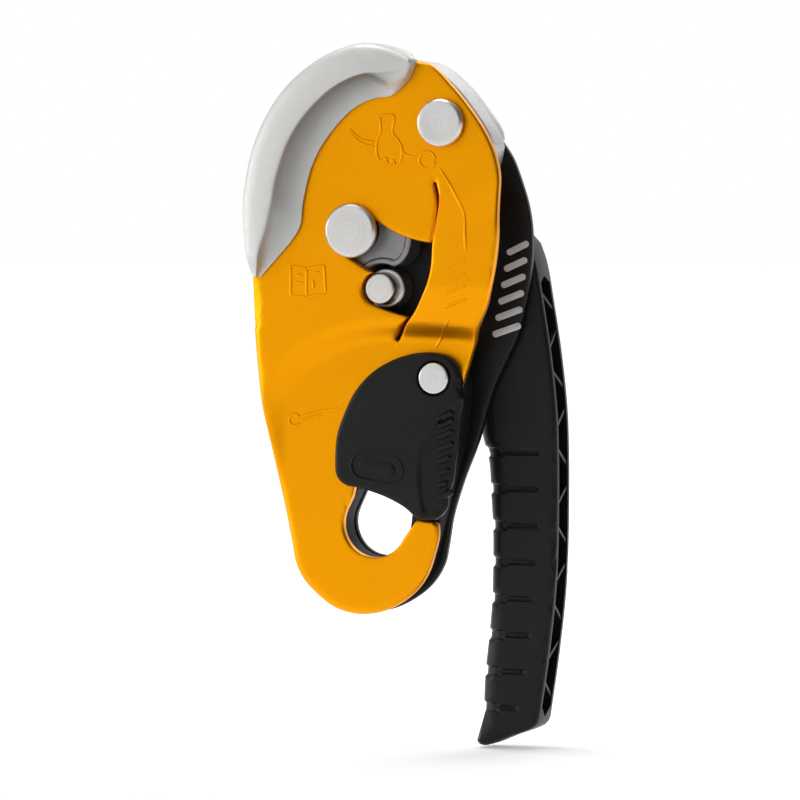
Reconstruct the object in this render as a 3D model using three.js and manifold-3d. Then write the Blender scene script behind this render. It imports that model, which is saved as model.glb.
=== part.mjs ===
// A self-braking belay device: two side plates, a pivoting cam between them and a release handle.
// Millimetres. X across the plates, Y through them (the front is -Y), Z up.
// The origin is the middle of the carabiner hole.

import * as THREE from 'three';
import { mergeVertices } from 'three/addons/utils/BufferGeometryUtils.js';
import Module from 'manifold-3d';

const wasm = await Module();
wasm.setup();

// ---------------------------------------------------------------- driving dimensions

const surfaceTolerance = 0.02;    // how far a surface may be flattened to drop slivers
const gap = 0.3;                  // clearance between pieces that touch
const plateThickness = 3.2;
const ropeGap = 12;               // between the raised front plate and the back plate
const lowGap = 8;                 // between the plates around the carabiner hole
const pivotX = 23;                // top rivet of the front plate
const pivotHeight = 120;
const axleOffset = [-28.5, -32.1];    // cam axle, from the pivot
const pinOffset = [-20.4, -49.5];     // stop pin, from the pivot
const gateOffset = [-2.6, -75.9];     // gate rivet, from the pivot
const axleHeadRadius = 8.1;
const axleHeadThickness = 2.3;
const axleRadius = 4.5;
const pivotHeadRadius = 7.2;
const pivotRadius = 4;
const pinRadius = 4.65;
const pinCollarRadius = 6;
const pinRise = 2;                // how far the pin stands above the back of the raised plate
const gateRivetRadius = 4.7;
const gateThickness = 4.2;
const smallRivetRadius = 2;
const holeRadius = 10;            // carabiner hole
const stripClearance = 0.4;       // between the axle's head and the strip that passes over it
const camThickness = 10.8;
const camTurn = 20;               // degrees, at the handle's full travel
const handleTurn = 105;           // degrees
const handleDepth = 13.4;
const handleLength = 155;         // axle to the handle's tip
const handleWall = 2.6;
const hubRadius = 17;
const grooveCount = 8;
const groovePitch = 10.95;
const pegRadius = 2.5;
const pegReach = 12.6;            // drive peg, from the cam axle
const pegAngle = 60;              // degrees, at rest
const slotTravel = 55;            // degrees that the axle's slot runs about the pivot

// ---------------------------------------------------------------- places that follow from them

const deg = Math.PI / 180;
const pivot = [pivotX, pivotHeight];
const axle = [pivotX + axleOffset[0], pivotHeight + axleOffset[1]];
const pin = [pivotX + pinOffset[0], pivotHeight + pinOffset[1]];
const gateRivetAt = [pivotX + gateOffset[0], pivotHeight + gateOffset[1]];
const slotRadius = Math.hypot(...axleOffset);
const pinArc = Math.hypot(...pinOffset);

const backFront = lowGap / 2;                     // the back plate's inner face
const backRear = backFront + plateThickness;
const lowRear = -lowGap / 2;                      // the front plate's lower part
const lowFront = lowRear - plateThickness;
const highRear = backFront - ropeGap;             // the front plate's raised part
const highFront = highRear - plateThickness;
const headRear = highFront - gap;
const axleHeadFront = headRear - axleHeadThickness;
const stripRear = axleHeadFront - stripClearance;
const stripLift = highRear - stripRear;
const camFront = backFront - 0.6 - camThickness;
const camRear = camFront + camThickness;
const handleFront = backRear + gap;
const handleRear = handleFront + handleDepth;

// The outlines below are drawn for a pivot at drawnPivot and a handle that ends at drawnTip: up() and
// low() carry their points along when the driving dimensions move those.
const drawnPivot = [23, 120];
const drawnTip = -67.1;
const up = ([x, z]) => [pivotX - drawnPivot[0] + x, pivotHeight - drawnPivot[1] + z];
const tip = axle[1] - handleLength;
const low = ([x, z]) => [x, z + tip - drawnTip];

// ---------------------------------------------------------------- solids

const materials = {
  orange: new THREE.MeshStandardMaterial({ color: 0xec9b0a, roughness: 0.35, metalness: 0.6 }),
  satin: new THREE.MeshStandardMaterial({ color: 0xc4c4c2, roughness: 0.5, metalness: 0.8 }),
  turned: new THREE.MeshStandardMaterial({ color: 0xd0cfcc, roughness: 0.3, metalness: 1 }),
  steel: new THREE.MeshStandardMaterial({ color: 0x8d8e90, roughness: 0.4, metalness: 1 }),
  bronze: new THREE.MeshStandardMaterial({ color: 0xa8803c, roughness: 0.4, metalness: 1 }),
  blackPaint: new THREE.MeshStandardMaterial({ color: 0x2b2b2c, roughness: 0.5, metalness: 0.3 }),
  blackPlastic: new THREE.MeshStandardMaterial({ color: 0x232323, roughness: 0.6, metalness: 0 }),
};

const object = new THREE.Group();

function toSolid(geometry) {
  const source = geometry.clone();
  source.deleteAttribute('normal');
  source.deleteAttribute('uv');
  const merged = mergeVertices(source, 1e-4);
  const index = merged.index.array;
  const triangles = [];
  for (let i = 0; i < index.length; i += 3) {
    const [a, b, c] = [index[i], index[i + 1], index[i + 2]];
    if (a !== b && b !== c && a !== c) triangles.push(a, b, c);
  }
  const points = merged.attributes.position.array;
  const corner = new THREE.Vector3();
  const [p, q, r] = [new THREE.Vector3(), new THREE.Vector3(), new THREE.Vector3()];
  let volume = 0;
  for (let i = 0; i < triangles.length; i += 3) {
    p.fromArray(points, triangles[i] * 3);
    q.fromArray(points, triangles[i + 1] * 3);
    r.fromArray(points, triangles[i + 2] * 3);
    volume += corner.crossVectors(p, q).dot(r);
  }
  if (volume < 0) triangles.reverse();
  return new wasm.Manifold(new wasm.Mesh({
    numProp: 3,
    vertProperties: Float32Array.from(points),
    triVerts: Uint32Array.from(triangles),
  }));
}

function add(name, solid, material) {
  const mesh = solid.simplify(surfaceTolerance).getMesh();
  const geometry = new THREE.BufferGeometry();
  geometry.setAttribute('position', new THREE.BufferAttribute(mesh.vertProperties, 3));
  geometry.setIndex(new THREE.BufferAttribute(mesh.triVerts, 1));
  geometry.computeVertexNormals();
  const piece = new THREE.Mesh(geometry, material);
  piece.name = name;
  object.add(piece);
}

const cut = (solid, ...tools) => tools.reduce((left, tool) => left.subtract(tool), solid);
const join = (solid, ...others) => others.reduce((left, other) => left.add(other), solid);

// A flat outline of [x, z] points, carried through the thickness from y0 to y1.
function slab(points, y0, y1) {
  const shape = new THREE.Shape(points.map(([x, z]) => new THREE.Vector2(x, z)));
  const geometry = new THREE.ExtrudeGeometry(shape, { depth: y1 - y0, bevelEnabled: false });
  geometry.rotateX(Math.PI / 2).translate(0, y1, 0);
  return toSolid(geometry);
}

// A turned piece about an axis along Y: the profile is a list of [radius, y].
function turned([x, z], profile, segments = 32) {
  const points = profile.map(([r, y]) => new THREE.Vector2(r, y));
  return toSolid(new THREE.LatheGeometry(points, segments).translate(x, 0, z));
}

const rod = (at, radius, y0, y1, segments = 32) =>
  turned(at, [[0, y0], [radius, y0], [radius, y1], [0, y1]], segments);

const ring = (at, inner, outer, y0, y1, segments = 32) =>
  turned(at, [[inner, y0], [outer, y0], [outer, y1], [inner, y1], [inner, y0]], segments);

// A smooth run through its knots, with `steps` pieces between neighbouring knots.
function run(knots, steps = 3) {
  if (knots.length === 2) return knots;
  const curve = new THREE.CatmullRomCurve3(
    knots.map(([x, z]) => new THREE.Vector3(x, z, 0)), false, 'centripetal');
  return curve.getPoints(steps * (knots.length - 1)).map((point) => [point.x, point.y]);
}

// An arc about a centre, angles in degrees from +X towards +Z.
function arc([x, z], radius, from, to, steps = 8) {
  return Array.from({ length: steps + 1 }, (_, i) => {
    const angle = (from + (to - from) * i / steps) * deg;
    return [x + radius * Math.cos(angle), z + radius * Math.sin(angle)];
  });
}

// Runs end to end as one outline, with doubled points dropped.
function outline(...runs) {
  const points = runs.flat();
  return points.filter(([x, z], i) => {
    const [px, pz] = points[(i + points.length - 1) % points.length];
    return Math.hypot(x - px, z - pz) > 0.05;
  });
}

const bearing = ([x, z], [cx, cz]) => Math.atan2(z - cz, x - cx) / deg;
const smoothstep = (t) => {
  const u = Math.min(1, Math.max(0, t));
  return u * u * (3 - 2 * u);
};
const range = (from, to, count) =>
  Array.from({ length: count + 1 }, (_, i) => from + (to - from) * i / count);

function indexed(positions, index) {
  const geometry = new THREE.BufferGeometry();
  geometry.setAttribute('position', new THREE.Float32BufferAttribute(positions, 3));
  geometry.setIndex(index);
  return toSolid(geometry);
}

// A skin through closed sections of equal length, each end closed by a fan about its middle.
function loft(sections) {
  const width = sections[0].length;
  const positions = sections.flat(2);
  const index = [];
  const at = (i, j) => i * width + (j % width);
  for (let i = 0; i < sections.length - 1; i += 1) {
    for (let j = 0; j < width; j += 1) {
      index.push(at(i, j), at(i, j + 1), at(i + 1, j + 1), at(i, j), at(i + 1, j + 1), at(i + 1, j));
    }
  }
  for (const end of [0, sections.length - 1]) {
    const middle = [0, 1, 2].map((k) => sections[end].reduce((sum, point) => sum + point[k], 0) / width);
    const centre = positions.length / 3;
    positions.push(...middle);
    for (let j = 0; j < width; j += 1) {
      index.push(centre, ...(end === 0 ? [at(end, j + 1), at(end, j)] : [at(end, j), at(end, j + 1)]));
    }
  }
  return indexed(positions, index);
}

// A pressed sheet of even thickness: front(x, z) gives the Y of its front face.
function pressedSheet(front, thickness, xs, zs) {
  const positions = [];
  for (const depth of [0, thickness]) {
    for (const z of zs) for (const x of xs) positions.push(x, front(x, z) + depth, z);
  }
  const index = [];
  const quad = (a, b, c, d) => index.push(a, b, c, a, c, d);
  const at = (side, i, j) => (side * zs.length + i) * xs.length + j;
  const [rows, columns] = [zs.length - 1, xs.length - 1];
  for (let i = 0; i < rows; i += 1) {
    for (let j = 0; j < columns; j += 1) {
      quad(at(0, i, j), at(0, i, j + 1), at(0, i + 1, j + 1), at(0, i + 1, j));
      quad(at(1, i, j), at(1, i + 1, j), at(1, i + 1, j + 1), at(1, i, j + 1));
    }
    quad(at(0, i, 0), at(0, i + 1, 0), at(1, i + 1, 0), at(1, i, 0));
    quad(at(0, i, columns), at(1, i, columns), at(1, i + 1, columns), at(0, i + 1, columns));
  }
  for (let j = 0; j < columns; j += 1) {
    quad(at(0, 0, j), at(1, 0, j), at(1, 0, j + 1), at(0, 0, j + 1));
    quad(at(0, rows, j), at(0, rows, j + 1), at(1, rows, j + 1), at(1, rows, j));
  }
  return indexed(positions, index);
}

// A coil of round wire about an axis along Y.
class Helix extends THREE.Curve {
  constructor(at, radius, y0, y1, turns) {
    super();
    Object.assign(this, { at, radius, y0, y1, turns });
  }

  getPoint(t, target = new THREE.Vector3()) {
    const angle = t * this.turns * 2 * Math.PI;
    return target.set(this.at[0] + this.radius * Math.cos(angle), this.y0 + (this.y1 - this.y0) * t,
      this.at[1] + this.radius * Math.sin(angle));
  }
}

function coil(at, radius, y0, y1, turns, wire) {
  const section = new THREE.Shape(arc([0, 0], wire / 2, 0, 300, 5).map(([x, z]) => new THREE.Vector2(x, z)));
  return toSolid(new THREE.ExtrudeGeometry(section, {
    steps: Math.round(turns * 14), bevelEnabled: false, extrudePath: new Helix(at, radius, y0, y1, turns),
  }));
}

// ---------------------------------------------------------------- front plate

const hole = [0, 0];
const throatTop = [2.5, 9];            // the carabiner hole is drawn out upwards in the back plate
const throatRadius = holeRadius - 1.5;
const slotHalf = axleHeadRadius - 1.1;      // the head stays wider than the slot it traps
const pinSeat = pinRadius + 0.6;
const mouthArc = 28.6;                 // lower edge of the gate's neck, about the gate rivet
const tipArc = gateRivetAt[1] - 1.2;   // top of the hook's tip, about the gate rivet

const bottomEdge = [[-27.1, -5.4], [-25.8, -12], [-23.3, -17.1], [-18.5, -21.9], [-13.4, -25.4], [-7, -27.2],
  [-0.3, -26.9], [5, -25.2], [9.8, -22.4], [13.8, -18.8], [16.9, -14], [18.9, -8], [20.1, -3.2]];
const leftFlank = [up([-37.4, 58]), up([-36.6, 48]), up([-34.8, 33]), [-32.2, 19.2], [-29.7, 6.9]];
const rightFlank = [[38.4, 66.5], [40.6, 74.1], [42.3, 87.6], [41.5, 97], [40.7, 104.7], [39.1, 111.3]];
const topRight = [[35.9, 117.9], [31.1, 124.8], [25.7, 131.1], [19.3, 137.1], [14.2, 138.4]];
const underGuard = [[5, 139.6], [-2, 140.4], [-13.5, 136.6], [-22, 130.2], [-28.6, 122], [-33.4, 112.4],
  [-36, 102.5], [-36.9, 93], [-37.2, 84], [-37.6, 74]];

const stripEdge = run([[7.4, 54.8], [11, 59.3], [14.8, 63.3], [17.2, 66.8], [19.8, 71.5], [21.3, 76.6],
  [21.9, 84.3], [22.3, 91], [22.3, 97], [20.9, 102.2]].map(up), 3);
const upperSlitEdge = [[20.2, 102.4], [21.2, 97], [20.5, 90], [19.6, 84.3]].map(up);
const liftTop = up([0, 102])[1];       // where the strip rejoins the plate above
const liftBottom = up([0, 56])[1];     // and below
const liftFull = [up([0, 69])[1], up([0, 86])[1]];
const liftLean = 0.25;                 // the strip's crest climbs towards the plate's right edge
const dish = { x: 14, z: up([0, 22])[1], halfWidth: 47, height: 36.5, power: 2.5, wall: 9 };

function plateFront(x, z, lifted) {
  const across = Math.abs((x - dish.x) / dish.halfWidth);
  const along = Math.max(0, (z - dish.z) / dish.height);
  const inside = 1 - (across ** dish.power + along ** dish.power) ** (1 / dish.power);
  const raised = smoothstep(0.5 - inside * dish.height / dish.wall);
  const lift = Math.min(smoothstep((z - liftBottom) / (liftFull[0] - liftBottom)),
    smoothstep((liftTop - z + liftLean * (x - stripEdge[0][0] - 14)) / (liftTop - liftFull[1])));
  return lowFront - raised * (ropeGap - lowGap) - (lifted ? lift * stripLift : 0);
}

const mouthFrom = bearing([-2, 24.5], gateRivetAt);
const plateOutline = outline(
  run([...leftFlank, ...bottomEdge, [20, 0.4]], 2),
  arc(gateRivetAt, tipArc, bearing([18.6, 1.3], gateRivetAt), bearing([12.9, 1.6], gateRivetAt), 3),
  arc(hole, holeRadius, -14, -206, 16),
  run([[-7.2, 8], [-6.5, 11], [-6.2, 15], [-4.6, 20]], 2),
  arc(gateRivetAt, mouthArc, mouthFrom + 360, 274, 8),
  run([[23.2, 17.5], [23.8, 22], [24.4, 29], [25.6, 35.5], [26.8, 39.4]], 1),
  run([up([27.2, 41]), up([28.4, 44]), up([32.1, 55.2]), ...rightFlank.map(up), ...topRight.map(up),
    ...underGuard.map(up)], 2),
);

const slotFrom = bearing(axle, pivot);
const slotTo = slotFrom + slotTravel;
const pinFrom = bearing(pin, pivot);
// The pin's seat ends where it meets the slot's outer side.
const slotOuter = slotRadius + slotHalf;
const seatTurn = 180 - Math.acos((pinArc ** 2 + pinSeat ** 2 - slotOuter ** 2) / (2 * pinArc * pinSeat)) / deg;
const pinSeatArc = arc(pin, pinSeat, pinFrom, pinFrom - seatTurn, 6);
const windowOutline = outline(
  arc(axle, slotHalf, slotFrom, slotFrom - 180, 8),
  arc(pivot, slotRadius - slotHalf, slotFrom, slotTo, 10).slice(1),
  arc(pivot, pinArc + pinSeat, slotTo, pinFrom, 10),
  pinSeatArc.slice(1),
  arc(pivot, slotOuter, bearing(pinSeatArc.at(-1), pivot), slotFrom, 5).slice(1),
);

const through = [-40, 40];
const cutThrough = (points) => slab(points, ...through);
const drill = (at, radius) => rod(at, radius, ...through);

const columns = range(-42, 48, 32);
const liftStep = (liftTop - liftBottom) / 16;
const plateRows = [-36, ...range(liftBottom - 24 * liftStep, liftTop + 2 * liftStep, 42), pivotHeight + 30];
const stripRegion = [...stripEdge, up([20.9, 103.5]), up([70, 116]), up([70, 54.2]), up([6.9, 54.2])];
const stripOverlap = [...stripEdge, up([20.4, 104.5]), up([70, 117]), up([70, 53.2]), up([5.4, 53.2])];
const slitCut = outline(stripEdge.slice(0, 8), [up([13.6, 64.2])],
  run([[12.9, 63], [9.9, 59.8], [6.6, 55.4]].map(up), 2));
const upperSlitCut = outline(stripEdge.slice(16), upperSlitEdge);

const guardOuter = run([[14.6, 139.6], [11, 141], [5, 143.1], [-1.7, 143.7], [-7.5, 142.5], [-15.1, 139.2],
  [-24.4, 132.3], [-31.1, 123.9], [-36.2, 113.4], [-38.7, 103.2], [-39.7, 93.3], [-39, 84.9], [-37.8, 76.8],
  [-36.9, 74]].map(up), 2);
const guardInner = run([[14.8, 136.8], [12.4, 132.4], [7.3, 128.1], [2.4, 127.4], [-3.4, 125.1], [-8, 121.5],
  [-14.7, 113.4], [-18.2, 106.5], [-20.8, 96.3], [-21.7, 89.4], [-23.6, 86], [-28.2, 80.6], [-31.6, 77],
  [-34.6, 73.8]].map(up), 2);
// A line along the guard, from its outer edge (0) to its inner edge (1).
const alongGuard = (across) => guardOuter.map(([x, z], i) =>
  [x + (guardInner[i][0] - x) * across, z + (guardInner[i][1] - z) * across]);
const guardLip = 0.13;                 // share of the guard's width that wraps the plate's edge

const guardRivets = { upper: up([-13, 131]), lower: up([-29.5, 98]) };

function pressedPlate(lifted) {
  const sheet = pressedSheet((x, z) => plateFront(x, z, lifted), plateThickness, columns, plateRows);
  return sheet.intersect(cutThrough(plateOutline));
}

const mainPart = cut(pressedPlate(false), cutThrough(stripRegion), cutThrough(windowOutline),
  cutThrough(slitCut), cutThrough(upperSlitCut), drill(pivot, pivotRadius + gap),
  drill(gateRivetAt, 2.6 + gap), cutThrough(outline(alongGuard(-0.3), alongGuard(guardLip + 0.04).reverse())),
  ...Object.values(guardRivets).map((at) => drill(at, smallRivetRadius + gap)));
const strip = pressedPlate(true).intersect(cutThrough(stripOverlap));
add('moving_side_plate', join(mainPart, strip), materials.orange);

// ---------------------------------------------------------------- friction guard

const guardBack = highFront - gap;
const guardSection = [[0, highRear], [0, guardBack - 1.2], [0.12, guardBack - 3.4], [0.34, guardBack - 5],
  [0.5, guardBack - 5.3], [0.64, guardBack - 3.9], [0.82, guardBack - 1.9], [1, guardBack - 0.9],
  [1, guardBack], [guardLip + 0.01, guardBack], [guardLip, highRear]];

function guardSections() {
  return guardOuter.map(([x, z], i) => {
    const [ix, iz] = guardInner[i];
    const fromEnd = Math.min(i, guardOuter.length - 1 - i) / 3;
    const fullness = 0.45 + 0.55 * smoothstep(fromEnd);
    const wraps = fromEnd > 0.9;
    return guardSection.map(([across, y]) => {
      const depth = y > guardBack && !wraps ? guardBack + (1 - across) * 0.01 : y;
      return [x + (ix - x) * across, y < guardBack ? guardBack + (y - guardBack) * fullness : depth,
        z + (iz - z) * across];
    });
  });
}

add('friction_guard', cut(loft(guardSections()),
  ...Object.values(guardRivets).map((at) => rod(at, smallRivetRadius + gap, guardBack - 2.2, guardBack + 1))),
materials.satin);
for (const [place, at] of Object.entries(guardRivets)) {
  add(`guard_rivet_${place}`, rod(at, smallRivetRadius, guardBack - 1.9, highRear, 20), materials.steel);
}

// ---------------------------------------------------------------- top rivet

// The ends behind the back plate are sunk flush, so that the handle can sweep over them.
const sunkDepth = 1.3;
const sunkFlange = 1;
const sunkBore = (at, radius) => rod(at, radius + sunkFlange + gap, backRear - sunkDepth - gap, backRear + 1);

add('plate_pivot_rivet', turned(pivot, [[0, headRear - 2.9], [pivotHeadRadius - 0.8, headRear - 2.9],
  [pivotHeadRadius, headRear - 2.1], [pivotHeadRadius, headRear - 0.7], [pivotRadius, headRear - 0.7],
  [pivotRadius, backRear - sunkDepth], [pivotRadius + sunkFlange, backRear - sunkDepth],
  [pivotRadius + sunkFlange, backRear], [0, backRear]]), materials.turned);
add('plate_pivot_washer', ring(pivot, pivotRadius + gap, pivotHeadRadius - 0.6, headRear - 0.4, headRear),
  materials.bronze);
add('plate_pivot_sleeve', ring(pivot, pivotRadius + gap, pivotRadius + 1.5, highRear + gap, backFront - gap),
  materials.steel);

// ---------------------------------------------------------------- back plate and what it carries

const backRight = [[28.9, 24.6], [24.3, 12.9], [20.9, 2.1], [19.4, -6.6], [17.9, -12.8],
  [13.2, -19.5], [4.3, -25.2], [-2, -26.9], [-8, -26.7], [-13.4, -24.2], [-18.5, -21], [-23, -16.4],
  [-25.2, -12], [-26.4, -5.4], [-28.9, 6.9], [-31.4, 19.2]];
const backLeft = [[-34, 33], [-35.6, 45], [-35.9, 60], [-36.2, 74], [-36.2, 86], [-35.6, 97], [-33, 108],
  [-28, 119], [-21, 128.4], [-12, 135.2], [-3, 138.4], [6, 138.6], [12, 137.4]];
const backTop = [[15.6, 134.6], [21.8, 130], [27.8, 123.6], [32, 117.2]];
const backSide = [[36.6, 114.2], [39.6, 109.6], [42.3, 102.9], [44.7, 95.1], [45.8, 87.3], [45.6, 77],
  [43.9, 66.9], [41.3, 56.4], [39.1, 51.6], [33.7, 40.2]];
const backOutline = outline(run([...backSide.map(up), ...backRight, ...backLeft.map(up)], 2),
  run(backTop.map(up), 2));

// The drawn-out hole: two arcs and their common tangents.
function throat(extra) {
  const lean = bearing(throatTop, hole);
  const splay = Math.asin((holeRadius - throatRadius) / Math.hypot(...throatTop)) / deg;
  return outline(arc(hole, holeRadius + extra, lean + 90 - splay, lean + 270 + splay, 16),
    arc(throatTop, throatRadius + extra, lean - 90 + splay, lean + 90 - splay, 12));
}

// A curved slot about the cam axle.
function curvedSlot(reach, half, from, to, y0, y1) {
  const points = outline(arc(axle, reach + half, from, to, 10),
    arc([axle[0] + reach * Math.cos(to * deg), axle[1] + reach * Math.sin(to * deg)], half, to, to + 180,
      8).slice(1),
    arc(axle, reach - half, to, from, 10).slice(1),
    arc([axle[0] + reach * Math.cos(from * deg), axle[1] + reach * Math.sin(from * deg)], half,
      from + 180, from + 360, 8).slice(1, -1));
  return slab(points, y0, y1);
}

const spacerRivets = { left: [-19, 14], right: up([17, 44]) };
const insertRivets = { upper: up([13.4, 131.6]), lower: up([34.2, 108.6]) };
const pegSlack = 2;               // degrees either side

add('fixed_side_plate', cut(slab(backOutline, backFront, backRear), cutThrough(throat(0)),
  drill(axle, axleRadius + gap), drill(pivot, pivotRadius + gap), drill(pin, 3 + gap),
  ...Object.values(spacerRivets).map((at) => drill(at, smallRivetRadius + gap)),
  ...Object.values(insertRivets).flatMap((at) =>
    [drill(at, smallRivetRadius + gap), sunkBore(at, smallRivetRadius)]), sunkBore(pivot, pivotRadius),
  curvedSlot(pegReach, pegRadius + gap, pegAngle - pegSlack, pegAngle + camTurn + pegSlack, ...through)),
materials.blackPaint);

const spacerFront = lowRear + gap;
const spacerRear = backFront - gap;
const spacerOutline = outline(
  run([up([23.5, 49.5]), up([27, 45]), [26.8, 32], [25.2, 22], [22.4, 11.5], [19.6, 1.2], [17.6, -7],
    [15.6, -12.8],
    [11.4, -18.2], [3.2, -23], [-2, -24.6], [-8, -24.4], [-12.8, -22.8], [-17.4, -19.8], [-21.6, -15.4],
    [-23.8, -11], [-25, -5], [-27.6, 7], [-30, 19]], 2),
  run([up([-31, 29]), up([-27, 37]), up([-19, 43.4]), up([-8, 47.6]), up([4, 50.2]), up([15, 51.6])], 3));
add('spacer_block', cut(slab(spacerOutline, spacerFront, spacerRear), cutThrough(throat(gap)),
  ...Object.values(spacerRivets).map((at) => rod(at, smallRivetRadius + gap, -1.8, 8))),
  materials.blackPlastic);
for (const [place, at] of Object.entries(spacerRivets)) {
  add(`spacer_rivet_${place}`, rod(at, smallRivetRadius, -1.5, backRear, 20), materials.steel);
}

const insertFront = highRear + 0.5;
const insertOuter = run([[11.6, 138.6], [18.2, 137], [25.7, 131.1], [31.1, 124.8], [35.9, 117.9], [37.6,
  113.4],
  [37.4, 110.6]].map(up), 3);
const insertInner = run([[36.2, 106.4], [33.4, 104.4], [30.6, 105.4], [30, 109], [30.4, 115.5], [29.4,
  120.8], [26.6, 124.6],
  [22.4, 127], [17, 127.4], [11.8, 127.8], [9.4, 131], [9.6, 135]].map(up), 3);
const insertLip = run([[12.6, 138.4], [18.2, 137], [25.7, 131.1], [31.1, 124.8], [35.9, 117.9],
  [36.6, 114.8]].map(up), 3);
const insertLipInner = run([[33.2, 116.7], [28.4, 124], [22.3, 130.5], [16, 135.2], [12.8, 137.6]].map(up),
  3);
add('wear_insert', cut(join(slab(outline(insertOuter, insertInner), insertFront, backFront - gap),
  slab(outline(insertLip, insertLipInner), backFront - gap - 0.5, backRear)),
...Object.values(insertRivets).map((at) => rod(at, smallRivetRadius + gap, backFront - 5, 8))),
materials.satin);
for (const [place, at] of Object.entries(insertRivets)) {
  add(`insert_rivet_${place}`, turned(at, [[0, backFront - 4.7], [smallRivetRadius, backFront - 4.7],
    [smallRivetRadius, backRear - sunkDepth], [smallRivetRadius + sunkFlange, backRear - sunkDepth],
    [smallRivetRadius + sunkFlange, backRear], [0, backRear]], 20), materials.steel);
}

const pinFront = highRear - pinRise;
add('stop_pin', turned(pin, [[0, pinFront], [pinRadius - 0.6, pinFront], [pinRadius, pinFront + 0.6],
  [pinRadius, pinFront + 5.6], [pinCollarRadius - 0.5, pinFront + 5.6], [pinCollarRadius, pinFront + 6.1],
  [pinCollarRadius, backFront - gap], [3, backFront - gap], [3, backRear], [0, backRear]]), materials.turned);

// ---------------------------------------------------------------- cam and its axle

const washerFront = handleRear + 2.1;          // the washer under the axle's closed end
add('cam_axle', turned(axle, [[0, axleHeadFront], [axleHeadRadius - 0.7, axleHeadFront],
  [axleHeadRadius, axleHeadFront + 0.7], [axleHeadRadius, headRear], [slotHalf - 0.6, headRear],
  [slotHalf - 0.6, camFront - gap], [axleRadius, camFront - gap], [axleRadius, washerFront + 1.1],
  [axleHeadRadius - 1.2, washerFront + 1.1], [axleHeadRadius - 1.2, washerFront + 2],
  [axleHeadRadius - 2.2, washerFront + 2.8],
  [0, washerFront + 2.8]], 40), materials.turned);

const aboutAxle = ([x, z]) => [axle[0] + x, axle[1] + z];
const camKnots = {
  nose: [[12.4, -10.6], [14.4, -9.4], [16, -7.2], [17, -4.2], [17.3, 0], [17, 5], [14.6, 11.4], [9, 15.8],
    [2, 17],
    [-6, 15.6], [-12, 10.6], [-14, 2], [-12.2, -5], [-7, -10.2], [0, -12.3], [3.2, -12]],
};
const pinSide = arc(pin, pinCollarRadius + 1.4, 122, 63, 5);
const camOutline = (scale) => outline(run(camKnots.nose.map(([x, z]) => aboutAxle([x * scale, z * scale])),
  2),
  pinSide.map(([x, z]) => [axle[0] + (x - axle[0]) * scale, axle[1] + (z - axle[1]) * scale]));
const bushOuter = axleRadius + 1.8;
const pegAt = [axle[0] + pegReach * Math.cos(pegAngle * deg), axle[1] + pegReach * Math.sin(pegAngle * deg)];
add('cam', cut(slab(camOutline(1), camFront, camRear), slab(camOutline(0.84), camFront - 1, camFront + 0.8),
  drill(axle, bushOuter + gap), rod(pegAt, pegRadius + gap, camRear - 4, camRear + 1),
  ring(axle, bushOuter, bushOuter + 3, camRear - 3, camRear + 1)), materials.steel);
add('cam_bush', ring(axle, axleRadius + gap, bushOuter, camFront + gap, camRear), materials.bronze);
add('cam_return_spring', coil(axle, bushOuter + 1.7, camRear - 2.4, camRear - 0.7, 1.6, 0.9),
  materials.steel);
add('cam_drive_peg', rod(pegAt, pegRadius, camRear - 3.7, handleFront + 3.2, 24), materials.steel);

// ---------------------------------------------------------------- gate

const gateRear = lowFront - gap;
const gateFront = gateRear - gateThickness;
const rivetHeadRear = gateFront + 1.5;
const gateShaft = 2.6;
const gateOutline = outline(run([[-7.2, 11.4], [-9.4, 12.6], [-11, 15], [-11.3, 20.1], up([-10.7, 26.7]),
  up([-8.5, 33]),
  up([-4.9, 39.9]), up([0.5, 45.6]), up([6.9, 49.3]), up([13.9, 51.4]), up([20.3, 51.6]), up([24.7, 50.4]),
  up([27.3, 47.7]), up([28.5, 44.2])], 2),
run([up([28.4, 40.4]), up([29.3, 37.6]), up([28.2, 32.7]), up([27.9, 28.5]), [26.5, 20.1], [25.7, 13.8],
  [24.2, 8.7],
  [23.8, 5.4], [21.2, 2.4], [18.2, 1.8], [15.3, 2], [10.4, 5.6], [4.9, 8.3], [0.5, 9.8], [-4.6, 11.1],
  [-7.2, 11.4]], 2));
const tailArc = tipArc - 0.5;
const tailOutline = outline(arc(gateRivetAt, tailArc, 260, 269, 3), arc(gateRivetAt, mouthArc + 0.6, 269,
  260, 3));
const thumbScoop = toSolid(new THREE.SphereGeometry(1, 24, 14).scale(8, 3.6, 14)
  .translate(30, gateFront - 0.6, gateRivetAt[1] - 20));
const badge = outline(arc([6.5, 16.6], 3.4, -98, 82, 6), arc([-1.5, 17.8], 3.4, 82, 262, 6));
add('gate', cut(join(slab(gateOutline, gateFront, gateRear), slab(tailOutline, gateRear - 1, lowRear),
  slab(badge, gateFront - 0.5, gateFront + 1)), drill(gateRivetAt, gateShaft + gap),
rod(gateRivetAt, gateRivetRadius + gap, gateFront - 1, rivetHeadRear + gap),
ring(gateRivetAt, gateShaft + 0.4, gateShaft + 3.2, gateRear - 2, gateRear + 1), thumbScoop),
materials.blackPlastic);
add('gate_rivet', turned(gateRivetAt, [[0, gateFront - 0.3], [gateRivetRadius - 0.4, gateFront - 0.3],
  [gateRivetRadius, gateFront + 0.1], [gateRivetRadius, rivetHeadRear], [gateShaft, rivetHeadRear],
  [gateShaft, lowRear],
  [0, lowRear]]), materials.turned);
add('gate_spring', coil(gateRivetAt, gateShaft + 1.9, gateRear - 1.6, gateRear - 0.4, 1.3, 0.6),
  materials.steel);

// ---------------------------------------------------------------- handle

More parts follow.
